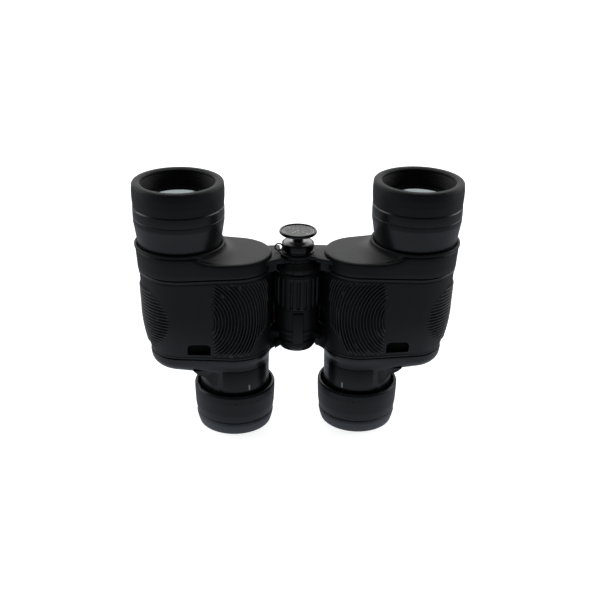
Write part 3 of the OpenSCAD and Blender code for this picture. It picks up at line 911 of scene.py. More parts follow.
def sweep_rib(mesh, path, width, height, sign):
    """Adds one grip rib, a rounded bar along a path of (point, normal), which fades at its ends."""
    count = len(path)
    rings = []
    for k, (spot, normal) in enumerate(path):
        ahead = path[min(k + 1, count - 1)][0] - path[max(k - 1, 0)][0]
        across = normal.cross(ahead).normalized() * (width / 2)
        fade = min(1.0, 0.25 + 0.75 * min(k, count - 1 - k) / 2)
        lift = normal * height * fade
        sunk = normal * -0.12
        ring = [spot - across + sunk, spot - across * 0.8 + lift * 0.6, spot - across * 0.36 + lift,
                spot + across * 0.36 + lift, spot + across * 0.8 + lift * 0.6, spot + across + sunk]
        rings.append([(sign * p.x, p.y, p.z) for p in ring])
    stretch(mesh, rings, caps=True)


def arc_ribs(mesh, sign, drop, shape):
    """Concentric grip ribs beside the hinge, cut off along an upright line on the front face."""
    pitch = shape.arc_pitch / MM
    height = shape.rib_height / MM
    low, high = HEEL_Z + 2.6, SEAM_Z - 2.9
    radius = 14.0
    while radius < 51:
        run = []
        steps = int(radius * 2.6)
        for k in range(steps + 1):
            b = mix(-math.pi / 2, math.pi / 2, k / steps)
            s, z = ARC_CENTRE[0] + radius * math.cos(b), ARC_CENTRE[1] + radius * math.sin(b)
            inner = 34.0 - 11.5 * ease((68 - z) / 13)
            inside = -1.0 < s < inner and low < z < high
            if inside:
                run.append(surface_point(s, z, drop))
            if (not inside or k == steps) and len(run) > 4:
                sweep_rib(mesh, run, pitch * 0.52, height, sign)
            if not inside:
                run = []
        radius += pitch


def bar_ribs(mesh, sign, drop, shape):
    """Level grip ribs round the outer side, ending on a bowed line front and back."""
    pitch = shape.bar_pitch / MM
    height = shape.rib_height / MM
    top, middle_z, reach_z = SEAM_Z - 10.1, 72.2, 20.5
    for k in range(18):
        z = top - k * pitch
        bow = math.sqrt(max(0.0, 1 - ((z - middle_z) / reach_z) ** 2))
        limit = math.radians(74) * bow
        if limit < 0.2:
            continue
        steps = max(10, int(limit * 24))
        path = []
        for i in range(steps + 1):
            a = mix(-limit, limit * 0.93, i / steps)
            normal = Vector(around((0, 0), 1, a, 0))
            path.append((Vector((TUBE_X, 0, z)) + normal * (front_radius(z) - drop), normal))
        sweep_rib(mesh, path, pitch * 0.6, height, sign)


def slot_cutter(sign):
    """The strap slot's outline: a bar with its two upper corners cut off."""
    low, high, top = SLOT_X - 6.5, SLOT_X + 6.5, SLOT_Z + 6.9
    corners = rounded([(low, SLOT_Z, 0.4), (high, SLOT_Z, 0.4), (high, top - 1.8, 0.6),
                       (high - 1.6, top, 0.8), (low + 1.6, top, 0.8), (low, top - 1.8, 0.6)])
    rings = [[(x, y, z) for x, z in corners] for y in (-LOBE_R - 6, -LOBE_R + 4.4)]
    return skin("slot", rings, sign, caps=True)


def make_armour(side, sign):
    """Rubber armour: a plain skin with real grip ribs, a strap slot and softened seams."""
    shape = bpy.context.scene.binoculars_shape
    seam = shape.seam / MM
    drop = shape.rib_height / MM
    low, high = HEEL_Z + seam * 0.4, SEAM_Z - seam
    wall = [(low, 0.1), (low + 0.25, -0.2), (low + 1.2, -0.2), (low + 1.45, 0.0)]
    wall += [(mix(low + 1.7, high - 2.7, t), 0.0) for t in shares(13)]
    wall += [(high - 2.45, 0.0), (high - 2.2, 0.15), (high - 1.85, 0.15), (high - 1.65, 0.0),
              (high - 1.35, -0.4), (high - 0.3, -0.4), (high, -0.15)]
    outside = [level(outline(lobes(front_radius(z)), drop + inset), z) for z, inset in wall]
    inside = [level(outline(lobes(front_radius(z)), 1.8), z) for z in (high, WAIST_Z, low)]
    base = skin("base", outside + inside, sign, loop=True)
    ribs = bmesh.new()
    arc_ribs(ribs, sign, drop, shape)
    bar_ribs(ribs, sign, drop, shape)
    piece = joined(base, finish_mesh("ribs", ribs))
    piece.name = f"{side}_armour_rubber"
    combine(piece, slot_cutter(sign), "DIFFERENCE")
    open_window(piece, side, sign)
    settle(piece, f"{side}_barrel", "armour_rubber", armour_rubber(), f"{side}_armour")


def make_core(side, sign):
    """The casting behind the armour: a dark shell, and the pocket behind the strap slot."""
    low, outer, inner = HEEL_Z + 0.1, 1.95, 3.6
    heights = (low, WAIST_Z, SEAM_Z)
    walls = [(z, outer) for z in heights] + [(z, inner) for z in heights[::-1]]
    rings = [level(outline(lobes(front_radius(z)), inset), z) for z, inset in walls]
    shell = skin(f"{side}_casting", rings, sign, loop=True)
    combine(shell, slot_cutter(sign), "DIFFERENCE")
    open_window(shell, side, sign)
    start, end = SLOT_X - 6.6, SLOT_X + 6.6
    mouth = rounded([(start, SLOT_Z - 0.1, 0.4), (end, SLOT_Z - 0.1, 0.4),
                     (end, SLOT_Z + 7.0, 0.8), (start, SLOT_Z + 7.0, 0.8)])
    floor = [(mix(SLOT_X, x, 0.05), mix(SLOT_Z + 3.4, z, 0.05)) for x, z in mouth]
    depths = ((mouth, -18.0), (mouth, -13.0), (floor, -12.6))
    pocket = skin(f"{side}_strap_pocket", [[(x, y, z) for x, z in ring] for ring, y in depths], sign)
    settle(pocket, f"{side}_barrel", "casting", dark_inside())
    settle(shell, f"{side}_barrel", "casting", dark_inside(), f"{side}_body_casting")


def make_arm(side, sign):
    """Rear hinge arm: a round knuckle on the hinge, and a root that flares into the barrel."""
    if side == "left":
        low, high = HEEL_Z + 0.25, HEEL_Z + 4.45
    else:
        low, high = HEEL_Z + 4.65, SLEEVE_Z - 0.2
    knuckle = rounded([(3.2, low, 0), (11.4, low, 0.5), (11.4, high, 0.5), (3.2, high, 0)], steps=3)
    disc = turned("knuckle", knuckle, HINGE, 96)
    root = arm_section(sign, 9.9, EYE_X - LOBE_R + 3.2, 1.9, (HEEL_Z - 0.9, SLEEVE_Z + 0.6),
                       (HEEL_Z - 3.6, SLEEVE_Z + 5.0))
    ends = (0.001, HEEL_Z - 20), (11.85, HEEL_Z - 20), (11.85, HEEL_Z + 30), (0.001, HEEL_Z + 30)
    combine(root, turned("well", ends, HINGE, 96, caps=True), "DIFFERENCE")
    neck = arm_section(sign, 6.0, 13.0, 0.6, (low + 0.1, high - 0.1), (low + 0.1, high - 0.1))
    piece = joined(disc, neck, root)
    piece.name = f"{side}_hinge_arm"
    settle(piece, f"{side}_barrel", "cover_plastic", cover_shell())


def arm_section(sign, start, end, soft, inner, outer):
    """A bar from the hinge out to a barrel, which flares from one range of heights to another."""
    rings = []
    for t in shares(16):
        x = mix(start, end, t)
        flare = t ** 1.8
        bottom, top = mix(inner[0], outer[0], flare), mix(inner[1], outer[1], flare)
        depth = mix(5.6, 11.2, flare)
        section = rounded([(HINGE_Y - depth, bottom, soft), (HINGE_Y + depth, bottom, soft),
                           (HINGE_Y + depth, top, soft), (HINGE_Y - depth, top, soft)])
        rings.append([(x, y, z) for y, z in section])
    return skin("arm", rings, sign, caps=True)


def make_fairing(side, sign):
    """A hollow-faced wall behind the focus wheel that closes the gap between wheel and barrel."""
    inner, outer = WHEEL_R + 0.4, WHEEL_R + 4.6
    low, high = HEEL_Z + 2, SEAM_Z - 2.2
    steps = 14

    def section(k):
        near = inner + 0.5 * (k in (0, steps))
        return rounded([(near, low, 0.4), (outer, low, 0.4), (outer, high, 0.4), (near, high, 0.4)],
                       steps=3)

    rings = bent(HINGE, math.radians(2), math.radians(44), steps, section)
    piece = skin(f"{side}_hinge_fairing", rings, sign, caps=True)
    settle(piece, f"{side}_barrel", "casting", dark_inside())


# ---------- eyepiece end ----------

def make_rear_cover(side, sign):
    """Rear cover: a rounded heel under the objective lobe, and the turret for the eyepiece."""
    seam = bpy.context.scene.binoculars_shape.seam / MM * 0.4
    axis = (EYE_X, 0.0)
    rear = HEEL_Z - 9.4
    round_r = 6.8
    turret, bore = TURRET_R, 17.8

    def heel(z, inset=0.0):
        """The hull at a height: the objective lobe curls under, and the eyepiece lobe stays put."""
        t = min(1.0, max(0.0, (rear + round_r - z) / round_r))
        curl = round_r * (1 - math.sqrt(max(0.0, 1 - t * t)))
        front = mix(HEEL_R - 0.9, HEEL_R, (z - rear) / (HEEL_Z - rear)) - curl
        eye = max(turret + 0.05, mix(turret + 0.05, LOBE_R - 0.35, ease((z - HEEL_Z + 5.5) / 5.0)))
        hump = mix(LOBE_R - 1.4, LOBE_R - 0.3, (z - rear) / (HEEL_Z - rear)) - curl
        return outline(lobes(front, eye, hump), inset)

    rings = [level(heel(HEEL_Z, 2.4), HEEL_Z - seam), level(heel(HEEL_Z, 0.15), HEEL_Z - seam),
             level(heel(HEEL_Z), HEEL_Z - seam - 0.15), level(heel(HEEL_Z), HEEL_Z - seam - 0.5)]
    for z in (HEEL_Z - 1.6, HEEL_Z - 2.8, HEEL_Z - 3.6):
        rings.append(level(heel(z), z))
    for k in range(0, 9):
        a = k / 8 * math.pi / 2 * 0.97
        z = rear + round_r * (1 - math.sin(a))
        rings.append(level(heel(z), z))
    foot = [(x, y) for x, y, _ in rings[-1]]
    circle = radial(foot, axis, turret)
    fillet = 2.0
    for t in (0.25, 0.5, 0.75, 0.88, 0.95, 1.0):
        ring = []
        for (x0, y0), (x1, y1) in zip(foot, circle):
            x, y = mix(x0, x1, t), mix(y0, y1, t)
            gap = max(0.0, math.hypot(x - axis[0], y - axis[1]) - turret)
            rest = max(0.0, fillet - gap)
            ring.append((x, y, rear - fillet + math.sqrt(fillet ** 2 - rest ** 2)))
        rings.append(ring)
    tail = RING_TOP - 6
    profile = rounded([(turret, rear - fillet, 0), (turret - 0.05, RING_TOP + 6, 0),
                       (turret - 0.1, tail, 0.5), (bore, tail, 0.3), (bore, HEEL_Z - seam, 0)],
                      closed=False, steps=3)
    rings += [level(radial(foot, axis, r), z) for r, z in profile]
    shell = skin(f"{side}_rear_cover_shell", rings, sign, loop=True)
    piece = joined(shell, raised_panel(sign, rear + 1.6), strap_gusset(sign, rear))
    settle(piece, f"{side}_barrel", "cover_plastic", tube_enamel(), f"{side}_rear_cover")


def raised_panel(sign, top):
    """A shallow raised field on the front of the turret, which carries the index mark."""
    low = RING_TOP - 3
    root, face = TURRET_R - 0.8, TURRET_R + PANEL_RISE
    section = rounded([(root, low, 0), (face, low, 0.2), (face, top, 0.3), (root, top, 0)], steps=3)
    rings = bent((EYE_X, 0), math.radians(-152), math.radians(-54), 40, lambda k: section)
    return skin("panel", rings, sign, caps=True)


def strap_gusset(sign, rear):
    """A three-cornered web between the rear face and the turret, where the strap comes out."""
    inner = EYE_X + 10.4
    corners = rounded([(inner, rear + 1.5, 0), (EYE_X + 23.5, rear + 1.5, 0),
                       (EYE_X + 21.5, rear - 0.4, 0.8), (EYE_X + 17.0, rear - 2.6, 2.0),
                       (EYE_X + 12.6, rear - 8.2, 1.0), (inner, rear - 8.4, 0)])
    rings = [[(mix(x, EYE_X + 14, shrink), y, mix(z, rear - 3, shrink)) for x, z in corners]
             for y, shrink in ((-17.6, 0.021), (-17.2, 0), (-14.8, 0), (-14.4, 0.021))]
    return skin("gusset", rings, sign, caps=True)


def make_eye_ring(side, sign):
    """Turning eyepiece ring: a barrel-shaped skirt that is open at the top."""
    low, top, r = RING_Z, RING_TOP, RING_R
    bore, lining = 15.2, r - 2.0
    profile = rounded([
        (bore, low + 1.0, 0.2), (17.5, low + 0.1, 0.2), (r - 1.35, low + 0.1, 0.5),
        (r - 1.0, low + 0.9, 0.6), (r - 0.4, low + 5.0, 8.0), (r - 0.05, low + 13.0, 6.0),
        (r - 0.05, top - 1.2, 0.8), (r - 0.55, top, 0.45), (r - 1.7, top, 0.45),
        (lining, top - 1.0, 0.4), (lining, low + 5.2, 0.4), (bore, low + 5.2, 0.2)], steps=5)
    piece = turned(f"{side}_turning_ring", profile, (sign * EYE_X, 0), 160)
    settle(piece, f"{side}_eye_ring", "ring_plastic", ring_plastic(), f"{side}_eyepiece_ring")


def make_eyecup(side, sign):
    """Soft eyecup: it tucks in under the ring and rolls round to a hollow that meets the eye."""
    r = RING_R
    profile = rounded([
        (16.4, 6.6, 0.5), (17.4, 3.4, 2.0), (18.9, 0.35, 0.7), (19.9, 0.0, 0.8), (21.0, 0.45, 0.9),
        (21.9, 3.4, 3.0), (r - 0.95, 6.2, 2.0), (r - 1.15, RING_Z - 0.15, 0.35),
        (17.4, RING_Z - 0.1, 0.2), (15.6, RING_Z - 0.6, 0.2)], steps=5)
    piece = turned(f"{side}_soft_eyecup", profile, (sign * EYE_X, 0), 160)
    settle(piece, f"{side}_eye_ring", "cup_rubber", cup_rubber(), f"{side}_eyecup")


def patch_on(mesh, centre, radius, turn, z, width, height):
    """Adds a small curved tile on a cylinder, such as a painted line or a moulded dot."""
    low, high = z - height / 2, z + height / 2
    root, face = radius - 0.25, radius + 0.05
    section = ((root, low), (face, low), (face, high), (root, high))
    wide = width / radius / 2
    stretch(mesh, bent(centre, turn - wide, turn + wide, 5, lambda k: section), caps=True)


def make_marks(side, sign):
    """The white index line on the turret and the dots of the dioptre scale on the ring."""
    axis = (sign * EYE_X, 0)
    inward, places = (24, (2, 32.5, 65)) if side == "left" else (32, (-12, -42, -74))
    turn = math.radians(-90 - sign * inward)
    line = bmesh.new()
    patch_on(line, axis, TURRET_R + PANEL_RISE, turn, RING_TOP + 4.0, 0.95, 3.2)
    settle(finish_mesh(f"{side}_index_line", line), f"{side}_barrel", "white_paint", inlaid_paint(),
           f"{side}_index_mark")
    dots = bmesh.new()
    for place in places:
        for extra, wide in ((0, 1.5), (-7, 0.5), (7, 0.5)):
            turn = math.radians(-90 + place + extra)
            patch_on(dots, axis, RING_R - 0.06, turn, RING_TOP - 4.5, wide, 0.5)
    settle(finish_mesh(f"{side}_scale_dots", dots), f"{side}_eye_ring", "ring_plastic",
           scale_paint())


# ---------- hinge and focusing ----------

def make_wheel():
    """Focus wheel: a smooth crown over rounded flutes, and a chamfered foot."""
    flutes = bpy.context.scene.binoculars_shape.flutes
    low, top = WHEEL_Z, WHEEL_TOP
    crown = top - 2.4

    def radius(a, z):
        wave = 0.5 + 0.5 * math.cos(a * flutes)
        groove = ease((wave - 0.5) / 0.34)
        fade = ease((crown - z) / 1.2) * ease((z - low - 0.4) / 0.5)
        return WHEEL_R - 0.12 - 0.95 * groove * fade

    outer = [(low, -0.5), (low + 0.15, -0.15), (low + 0.5, 0)]
    outer += [(mix(low + 0.8, crown - 1.3, t), 0) for t in shares(6)]
    outer += [(crown - 1.3 + 0.22 * k, 0) for k in range(1, 7)]
    outer += [(top - 1.9, 0.0), (top - 1.75, -0.16), (top - 1.6, 0.0), (top - 0.5, 0.0),
              (top - 0.15, -0.2), (top, -0.6)]
    inner = ((9.0, top), (8.6, top - 0.5), (5.3, top - 0.5),
             (5.3, low + 0.4), (8.6, low + 0.4), (9.0, low))
    angles = whole_turn(flutes * 14)
    rings = [[around(HINGE, radius(a, z) + step, a, z) for a in angles] for z, step in outer]
    rings += [[around(HINGE, r, a, z) for a in angles] for r, z in inner]
    piece = skin("fluted_focus_wheel", rings, loop=True)
    settle(piece, "focus_drive", "wheel_rubber", wheel_rubber(), "focus_wheel")


def make_sleeve():
    """Hinge sleeve: a plain band with a raised key on a sunk field, and a flared foot."""
    low, top = SLEEVE_Z, WHEEL_Z - 0.15
    key = 3.1
    band = SLEEVE_R - 0.45
    bore = 3.05
    profile = rounded([(bore, low, 0), (SLEEVE_R - 0.1, low, 0.35),
                       (SLEEVE_R - 0.05, low + 2.2, 0.5), (band, low + 2.7, 0.5),
                       (band, top - 0.35, 0.3), (SLEEVE_R - 0.8, top, 0.2), (bore, top, 0)])
    sleeve = turned("plain_hinge_sleeve", profile, HINGE)
    field = curved_block(key + 0.55, SLEEVE_R - 0.85, SLEEVE_R + 1, low - 1, top - 1.4, 0)
    combine(sleeve, field, "DIFFERENCE")
    settle(sleeve, "left_barrel", "cover_plastic", cover_shell(), "hinge_sleeve")
    tab = curved_block(key, SLEEVE_R - 0.95, SLEEVE_R + 0.35, HEEL_Z + 4.6, top - 1.9, 0.35)
    tab.name = "raised_sleeve_key"
    settle(tab, "left_barrel", "cover_plastic", cover_shell(), "sleeve_key")


def curved_block(half_width, inner, outer, low, top, soft):
    """A block that follows the sleeve's curve on the front of the hinge."""
    steps = 12
    limit = math.asin(half_width / outer)

    def section(k):
        face = outer - soft * 0.6 * (k in (0, steps))
        return rounded([(inner, low, 0), (face, low, soft), (face, top, soft), (inner, top, 0)],
                       steps=3)

    front = -math.pi / 2
    return skin("block", bent(HINGE, front - limit, front + limit, steps, section), caps=True)


def make_bridge():
    """The dark centre of the bridge: an apron that slopes out over the wheel, and its key."""
    low, top = WHEEL_TOP + 0.7, BRIDGE_TOP - 4.0
    slope = rounded([(9.6, low + 0.5, 0), (12.3, low, 0.2), (12.95, low, 0.2),
                     (12.95, low + 2.4, 0.5), (10.6, top, 0.4), (9.6, top, 0)], steps=3)
    rings = bent(HINGE, math.radians(-172), math.radians(-8), 28, lambda k: slope)
    apron = skin("bridge_apron", rings, caps=True)
    settle(apron, "left_barrel", "cover_plastic", cover_shell(), "bridge_cover")
    rings = []
    for u, soft in ((-3.0, 0.3), (-2.7, 0.0), (2.7, 0.0), (3.0, 0.3)):
        face = 13.4 - soft
        section = rounded([(9.8, low + 1, 0), (12.2, low + 0.1, 0.2), (face, low + 0.1, 0.3),
                           (face, low + 2.7, 0.6), (face - 2.4, top + 0.1, 0.4),
                           (9.8, top + 0.1, 0)], steps=3)
        rings.append([(u, HINGE_Y - r, z) for r, z in section])
    tab = skin("bridge_key", rings, caps=True)
    settle(tab, "left_barrel", "cover_plastic", cover_shell())


def make_end_cap():
    """A shallow domed cap that closes the lower end of the hinge."""
    low, top = HEEL_Z - 2.9, HEEL_Z + 0.2
    dome = rounded([(0.001, low, 0), (4.0, low, 0), (9.6, low + 0.5, 1.6), (11.0, top, 0.2),
                    (0.001, top, 0)], closed=False)
    piece = turned("domed_end_cap", dome, HINGE, 96)
    settle(piece, "left_barrel", "cap_plastic", gloss_plastic(), "hinge_end_cap")


def make_socket():
    """Tripod socket: a glossy collar with a bright bush let into its top."""
    low, top, r = SOCKET_Z, SOCKET_TOP, SOCKET_R
    groove, bore, recess = r - 0.35, 3.3, top - 0.45
    profile = rounded([(bore, low, 0), (r, low, 0.3), (r, low + 0.8, 0.2), (groove, low + 1.1, 0.2),
                       (groove, low + 1.4, 0.2), (r, low + 1.7, 0.2), (r, top - 0.2, 0.5),
                       (r - 0.75, top - 0.02, 0.3), (r - 1.0, recess, 0.2), (bore, recess, 0)])
    collar = turned("socket_collar", profile, HINGE, 112)
    settle(collar, "left_barrel", "cap_plastic", gloss_plastic(), "tripod_socket")
    lining = rounded([(3.2, top - 0.42, 0), (r - 1.05, top - 0.42, 0), (r - 1.05, top - 0.1, 0.15),
                      (3.5, top - 0.02, 0.3), (3.2, top - 0.3, 0.1)], steps=3)
    bush = turned("socket_bush", lining, HINGE, 96)
    settle(bush, "left_barrel", "inlay_metal", stamped_metal())


def make_tether_wire():
    """The small loop of wire beside the tripod socket."""
    wire = bpy.data.curves.new("wire", "CURVE")
    wire.dimensions = "3D"
    wire.bevel_depth = 0.4 * MM
    wire.bevel_resolution = 4
    line = wire.splines.new("BEZIER")
    spots = ((0.2, 0.9), (-1.4, 1.9), (-3.3, 1.1), (-4.0, -0.7), (-2.6, -2.3), (-0.6, -1.9),
             (0.5, -0.9))
    line.bezier_points.add(len(spots) - 1)
    for knot, (u, v) in zip(line.bezier_points, spots):
        spot = (0.2 - SOCKET_R + u, HINGE_Y - 1.6 - 0.35 * u, SOCKET_Z + 2.9 + v)
        knot.co = [place * MM for place in spot]
        knot.handle_left_type = knot.handle_right_type = "AUTO"
    temporary = bpy.data.objects.new("wire", wire)
    bpy.context.scene.collection.objects.link(temporary)
    bpy.context.view_layer.update()
    evaluated = temporary.evaluated_get(bpy.context.evaluated_depsgraph_get())
    data = bpy.data.meshes.new_from_object(evaluated)
    bpy.data.objects.remove(temporary)
    mesh = bmesh.new()
    mesh.from_mesh(data)
    bmesh.ops.holes_fill(mesh, edges=[e for e in mesh.edges if e.is_boundary])
    loop = finish_mesh("tether_wire", mesh)
    settle(loop, "left_barrel", "spring_steel", dark_wire(), "tether_loop")


def make_cap():
    """Tripod cap: a dished disc with a fine knurl, and the stem under it."""
    floor = CAP_TOP - 0.95
    rim = rounded([(0.001, CAP_Z, 0), (CAP_R - 1.0, CAP_Z, 0.3), (CAP_R - 0.2, CAP_Z + 0.6, 0.3),
                   (CAP_R - 0.05, CAP_TOP - 0.8, 0.4), (CAP_R - 0.45, CAP_TOP, 0.6),
                   (CAP_R - 1.45, CAP_TOP, 0.6), (CAP_R - 1.7, floor, 0.1), (0.001, floor, 0)],
                  closed=False)
    rings = []
    for r, z in rim:
        knurl = 0.10 if CAP_Z + 0.7 < z < CAP_TOP - 0.6 and r > CAP_R - 0.6 else 0.0
        rings.append([around(HINGE, r if k % 3 else r - knurl, a, z)
                      for k, a in enumerate(whole_turn(180))])
    disc = skin("dished_cap_disc", rings)
    settle(disc, "tripod_cap", "cap_plastic", gloss_plastic(), "cap_disc")
    low, top = SOCKET_Z, SOCKET_TOP
    profile = rounded([(0.001, low + 1.2, 0), (2.6, low + 1.2, 0.2), (3.1, low + 1.8, 0.2),
                       (3.1, top - 0.4, 0.2), (2.9, top, 0.2), (2.9, top + 1.2, 0.3),
                       (2.65, top + 1.6, 0.3), (2.65, CAP_Z - 0.9, 0.3), (2.92, CAP_Z, 0.2),
                       (0.001, CAP_Z, 0)], closed=False, steps=3)
    stem = turned("cap_stem_turned", profile, HINGE, 64)
    settle(stem, "tripod_cap", "cap_plastic", gloss_plastic(), "cap_stem")


def make_inlay():
    """The stamped inlay: a plain ring and a low rosette of eight petals, with no lettering."""
    radius = CAP_R - 1.8
    base = CAP_TOP - 0.95

    def height(r, a):
        petal = math.cos(a * 8) * ease(1 - abs(r / radius - 0.42) / 0.30)
        border = ease(1 - abs(r / radius - 0.86) / 0.05)
        return 0.36 + 0.12 * max(0.0, petal) + 0.12 * border

    rings = []
    for t in shares(30):
        r = mix(0.05, radius, t)
        rings.append([around(HINGE, r, a, base + height(r, a)) for a in whole_turn(160)])
    rings.append([(x, y, base + 0.02) for x, y, _ in rings[-1]])
    rings.append([(x * 0.02, HINGE_Y + (y - HINGE_Y) * 0.02, z) for x, y, z in rings[-1]])
    piece = skin("rosette_inlay", rings, loop=True, sharp=60)
    settle(piece, "tripod_cap", "inlay_metal", smoked_inlay(), "cap_inlay")


def make_tether_washer():
    """The washer round the cap's stem, which would hold a tether."""
    low, high, bore, r = SOCKET_TOP + 0.1, SOCKET_TOP + 0.65, 3.05, 4.7
    profile = rounded([(bore, low, 0.1), (r, low, 0.2), (r, high, 0.25), (bore, high, 0.1)])
    washer = turned("tether_washer", profile, HINGE, 64)
    settle(washer, "tripod_cap_thread", "spring_steel", spring_steel(), "tether_eye")


# ---------- CAD nodes that keep their own shape ----------

KEPT = {
    "objective_cell": (black_anodised, "black_anodised"),
    "lens_retainer": (black_anodised, "black_anodised"),
    "focus_arm": (spring_steel, "spring_steel"),
    "prism_shelf": (cast_alloy, "casting"),
    "front_prism": (prism_glass, "prism_glass"),
    "rear_prism": (prism_glass, "prism_glass"),
    "prism_clips": (spring_steel, "spring_steel"),
    "ocular_tube": (black_anodised, "black_anodised"),
    "field_lens": (coated_glass, "coated_glass"),
    "eye_lens": (coated_glass, "coated_glass"),
    "cover_screws": (dark_wire, "screw_steel"),
    "ocular_seal": (seal_rubber, "seal_rubber"),
}
KEPT_ALONE = {
    "hinge_axle": (spring_steel, "axle_steel"),
    "focus_screw": (turned_brass, "brass"),
    "focus_nut": (turned_brass, "brass"),
}


def refinish(node, maker):
    """Gives a CAD node a finish, without touching its shape."""
    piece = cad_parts[node]
    piece.data.materials.clear()
    piece.data.materials.append(maker())


def finish_kept_nodes():
    """Gives the inner parts their finishes, on both barrels and along the hinge."""
    for kind, (maker, slot) in KEPT.items():
        for side, _ in SIDES:
            refinish(f"{side}_{kind}", maker)
    for node, (maker, slot) in KEPT_ALONE.items():
        refinish(node, maker)


# ---------- studio ----------

def softbox(name, size, radiance, place, target):
    """An area light of a given radiance, aimed at a point and hidden from the camera."""
    lamp = bpy.data.lights.new(name, "AREA")
    lamp.shape = "RECTANGLE"
    lamp.size, lamp.size_y = size
    lamp.energy = radiance * size[0] * size[1] * math.pi
    item = bpy.data.objects.new(name, lamp)
    item.location = place
    item.rotation_mode = "QUATERNION"
    item.rotation_quaternion = (Vector(target) - Vector(place)).to_track_quat("-Z", "Y")
    item.visible_camera = False
    bpy.context.scene.collection.objects.link(item)


def make_camera(place, angles, lens):
    """The camera, turned by a heading, a downward pitch and a roll, all in degrees."""
    yaw, pitch, roll = (math.radians(angle) for angle in angles)
    flat = math.cos(pitch)
    ahead = Vector((math.sin(yaw) * flat, math.cos(yaw) * flat, -math.sin(pitch)))
    right = ahead.cross(Vector((0, 0, 1))).normalized()
    up = right.cross(ahead)
    across = right * math.cos(roll) + up * math.sin(roll)
    upward = up * math.cos(roll) - right * math.sin(roll)
    data = bpy.data.cameras.new("camera")
    data.sensor_width = 36.0
    data.lens = lens
    data.clip_start = 0.01
    item = bpy.data.objects.new("camera", data)
    turn = Matrix((across, upward, -ahead)).transposed().to_4x4()
    item.matrix_world = Matrix.Translation(Vector(place)) @ turn
    bpy.context.scene.collection.objects.link(item)
    bpy.context.scene.camera = item


def make_world():
    """White to the camera. For light, a dim room whose floor side is brighter and a little blue."""
    world = bpy.data.worlds.new("studio")
    world.use_nodes = True
    room = Tree(world.node_tree)
    direction = room.node("ShaderNodeTexCoord", {}, output="Generated")
    upright = room.node("ShaderNodeSeparateXYZ", {}, direction, output="Z")
    bounce = upright.above(-0.12, -0.62) * bpy.context.scene.binoculars_studio.bounce
    strength = 0.05 + bounce
    seen = room.node("ShaderNodeLightPath", {}, output="Is Camera Ray")
    tone = room.blend(seen, (0.88, 0.95, 1.06), (1.0, 1.0, 1.0))
    shade = room.node("ShaderNodeBackground", {}, tone, strength * (1 - seen) + seen)
    room.node("ShaderNodeOutputWorld", {}, shade)
    bpy.context.scene.world = world


def make_floor():
    """A wide pale floor with a faint mottle, bright enough that shadows stay soft."""
    f = Finish("studio_floor", Specular_IOR_Level=0.1, Emission_Strength=0.93)
    tone = f.grain(400.0)
    base = tuple(bpy.context.scene.binoculars_studio.floor)
    pale = f.blend(tone, tinted(base, 0.985), base)
    f.surface(pale, 0.8 + tone * 0.1, Emission_Color=pale)
    mesh = bmesh.new()
    edge = 4.0
    corners = ((-edge, -edge), (edge, -edge), (edge, edge), (-edge, edge))
    mesh.faces.new([mesh.verts.new((x, y, -0.05 * MM)) for x, y in corners])
    floor = finish_mesh("studio_floor", mesh)
    floor.data.materials.append(f.material)
    floor.visible_diffuse = False
    floor.visible_glossy = False


def make_lights():
    """A wide white wall of light behind, one overhead, and two strips that edge the tubes."""
    studio = bpy.context.scene.binoculars_studio
    aim = (0, 0, 0.08)
    softbox("rear softbox", (4.4, 2.2), studio.backlight, (0, 1.7, 0.95), aim)
    softbox("overhead softbox", (1.4, 1.2), studio.overhead, (0, 0.35, 1.7), aim)
    softbox("left strip", (1.2, 1.6), studio.backlight * 1.8, (-1.9, 0.55, 0.6), aim)
    softbox("right strip", (1.2, 1.6), studio.backlight * 1.8, (1.9, 0.55, 0.6), aim)


# ---------- operators ----------

def build_pairs(*makers):
    """Builds pieces that both barrels have."""
    for side, sign in SIDES:
        for make in makers:
            make(side, sign)
    return {"FINISHED"}


def build_single(*makers):
    """Builds pieces that there is one of."""
    for make in makers:
        make()
    return {"FINISHED"}


class BINOCULARS_OT_glass(bpy.types.Operator):
    """Gives the lenses, prisms, screws and shafts their finishes"""
    bl_idname = "binoculars.glass"
    bl_label = "Glass and inner parts"

    def execute(self, context):
        return build_single(finish_kept_nodes)


class BINOCULARS_OT_hoods(bpy.types.Operator):
    """Builds the rubber hoods round the objective lenses"""
    bl_idname = "binoculars.hoods"
    bl_label = "Hoods"

    def execute(self, context):
        return build_pairs(make_hood, make_lens)


class BINOCULARS_OT_tubes(bpy.types.Operator):
    """Builds the tapered objective tubes"""
    bl_idname = "binoculars.tubes"
    bl_label = "Objective tubes"

    def execute(self, context):
        return build_pairs(make_tube)


class BINOCULARS_OT_front_covers(bpy.types.Operator):
    """Builds the front covers with their hinge plates"""
    bl_idname = "binoculars.front_covers"
    bl_label = "Front covers"

    def execute(self, context):
        return build_pairs(make_cover)


class BINOCULARS_OT_armour(bpy.types.Operator):
    """Builds the ribbed rubber armour"""
    bl_idname = "binoculars.armour"
    bl_label = "Armour"

    def execute(self, context):
        return build_pairs(make_armour)


class BINOCULARS_OT_cores(bpy.types.Operator):
    """Builds the casting behind the armour and its hinge arm"""
    bl_idname = "binoculars.cores"
    bl_label = "Castings"

    def execute(self, context):
        return build_pairs(make_core, make_arm, make_fairing)


class BINOCULARS_OT_rear_covers(bpy.types.Operator):
    """Builds the rear covers with the eyepiece turrets"""
    bl_idname = "binoculars.rear_covers"
    bl_label = "Rear covers"

    def execute(self, context):
        return build_pairs(make_rear_cover)


class BINOCULARS_OT_eyepieces(bpy.types.Operator):
    """Builds the turning rings, the soft eyecups and their marks"""
    bl_idname = "binoculars.eyepieces"
    bl_label = "Eyepieces"

    def execute(self, context):
        return build_pairs(make_eye_ring, make_eyecup, make_marks)


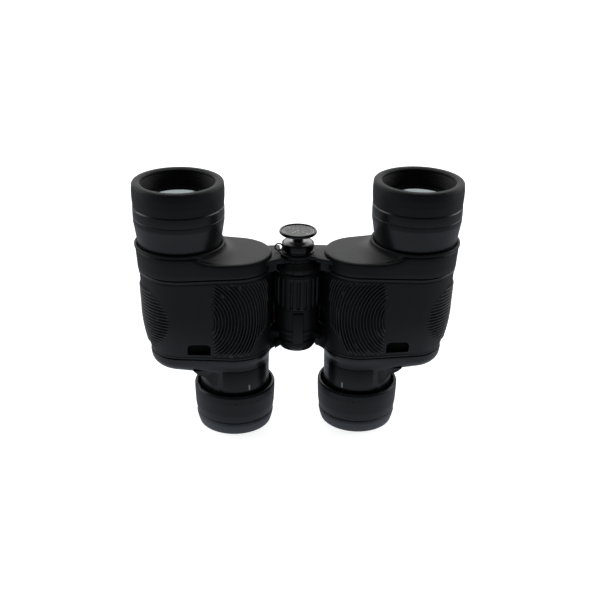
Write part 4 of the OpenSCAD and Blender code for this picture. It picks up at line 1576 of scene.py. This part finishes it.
class BINOCULARS_OT_focusing(bpy.types.Operator):
    """Builds the focus wheel, the hinge sleeve and the end cap"""
    bl_idname = "binoculars.focusing"
    bl_label = "Focusing"

    def execute(self, context):
        return build_single(make_wheel, make_sleeve, make_end_cap)


class BINOCULARS_OT_bridge(bpy.types.Operator):
    """Builds the bridge apron, the tripod socket and its cap"""
    bl_idname = "binoculars.bridge"
    bl_label = "Bridge"

    def execute(self, context):
        return build_single(make_bridge, make_socket, make_tether_wire, make_cap, make_inlay,
                            make_tether_washer)


class BINOCULARS_OT_stage(bpy.types.Operator):
    """Sets up the backdrop, the floor, the lights and the camera"""
    bl_idname = "binoculars.stage"
    bl_label = "Stage"

    def execute(self, context):
        make_world()
        make_floor()
        make_lights()
        make_camera((-0.03433, -0.53491, 0.32528), angles=(4.2, 25.24, 1.16), lens=60.872)
        context.scene.view_settings.view_transform = "Standard"
        return {"FINISHED"}


OPERATORS = (
    BINOCULARS_OT_glass,
    BINOCULARS_OT_hoods,
    BINOCULARS_OT_tubes,
    BINOCULARS_OT_front_covers,
    BINOCULARS_OT_armour,
    BINOCULARS_OT_cores,
    BINOCULARS_OT_rear_covers,
    BINOCULARS_OT_eyepieces,
    BINOCULARS_OT_focusing,
    BINOCULARS_OT_bridge,
    BINOCULARS_OT_stage,
)


class BINOCULARS_PT_main(bpy.types.Panel):
    """Buttons for each group of pieces, with their settings"""
    bl_idname = "BINOCULARS_PT_main"
    bl_label = "Porro binoculars"
    bl_space_type = "VIEW_3D"
    bl_region_type = "UI"
    bl_category = "Binoculars"

    def draw(self, context):
        for settings in (context.scene.binoculars_shape, context.scene.binoculars_finish,
                         context.scene.binoculars_studio):
            box = self.layout.box()
            for name in settings.__annotations__:
                box.prop(settings, name)
        for piece in OPERATORS:
            self.layout.operator(piece.bl_idname)


CLASSES = (BINOCULARS_PG_shape, BINOCULARS_PG_finish, BINOCULARS_PG_studio, *OPERATORS,
           BINOCULARS_PT_main)


def register():
    for item in CLASSES:
        bpy.utils.register_class(item)
    scene = bpy.types.Scene
    scene.binoculars_shape = bpy.props.PointerProperty(type=BINOCULARS_PG_shape)
    scene.binoculars_finish = bpy.props.PointerProperty(type=BINOCULARS_PG_finish)
    scene.binoculars_studio = bpy.props.PointerProperty(type=BINOCULARS_PG_studio)


def unregister():
    scene = bpy.types.Scene
    del scene.binoculars_studio, scene.binoculars_finish, scene.binoculars_shape
    for item in reversed(CLASSES):
        bpy.utils.unregister_class(item)


def main():
    register()
    for piece in OPERATORS:
        getattr(bpy.ops.binoculars, piece.bl_idname.split(".")[1])()


if __name__ == "__main__":
    main()
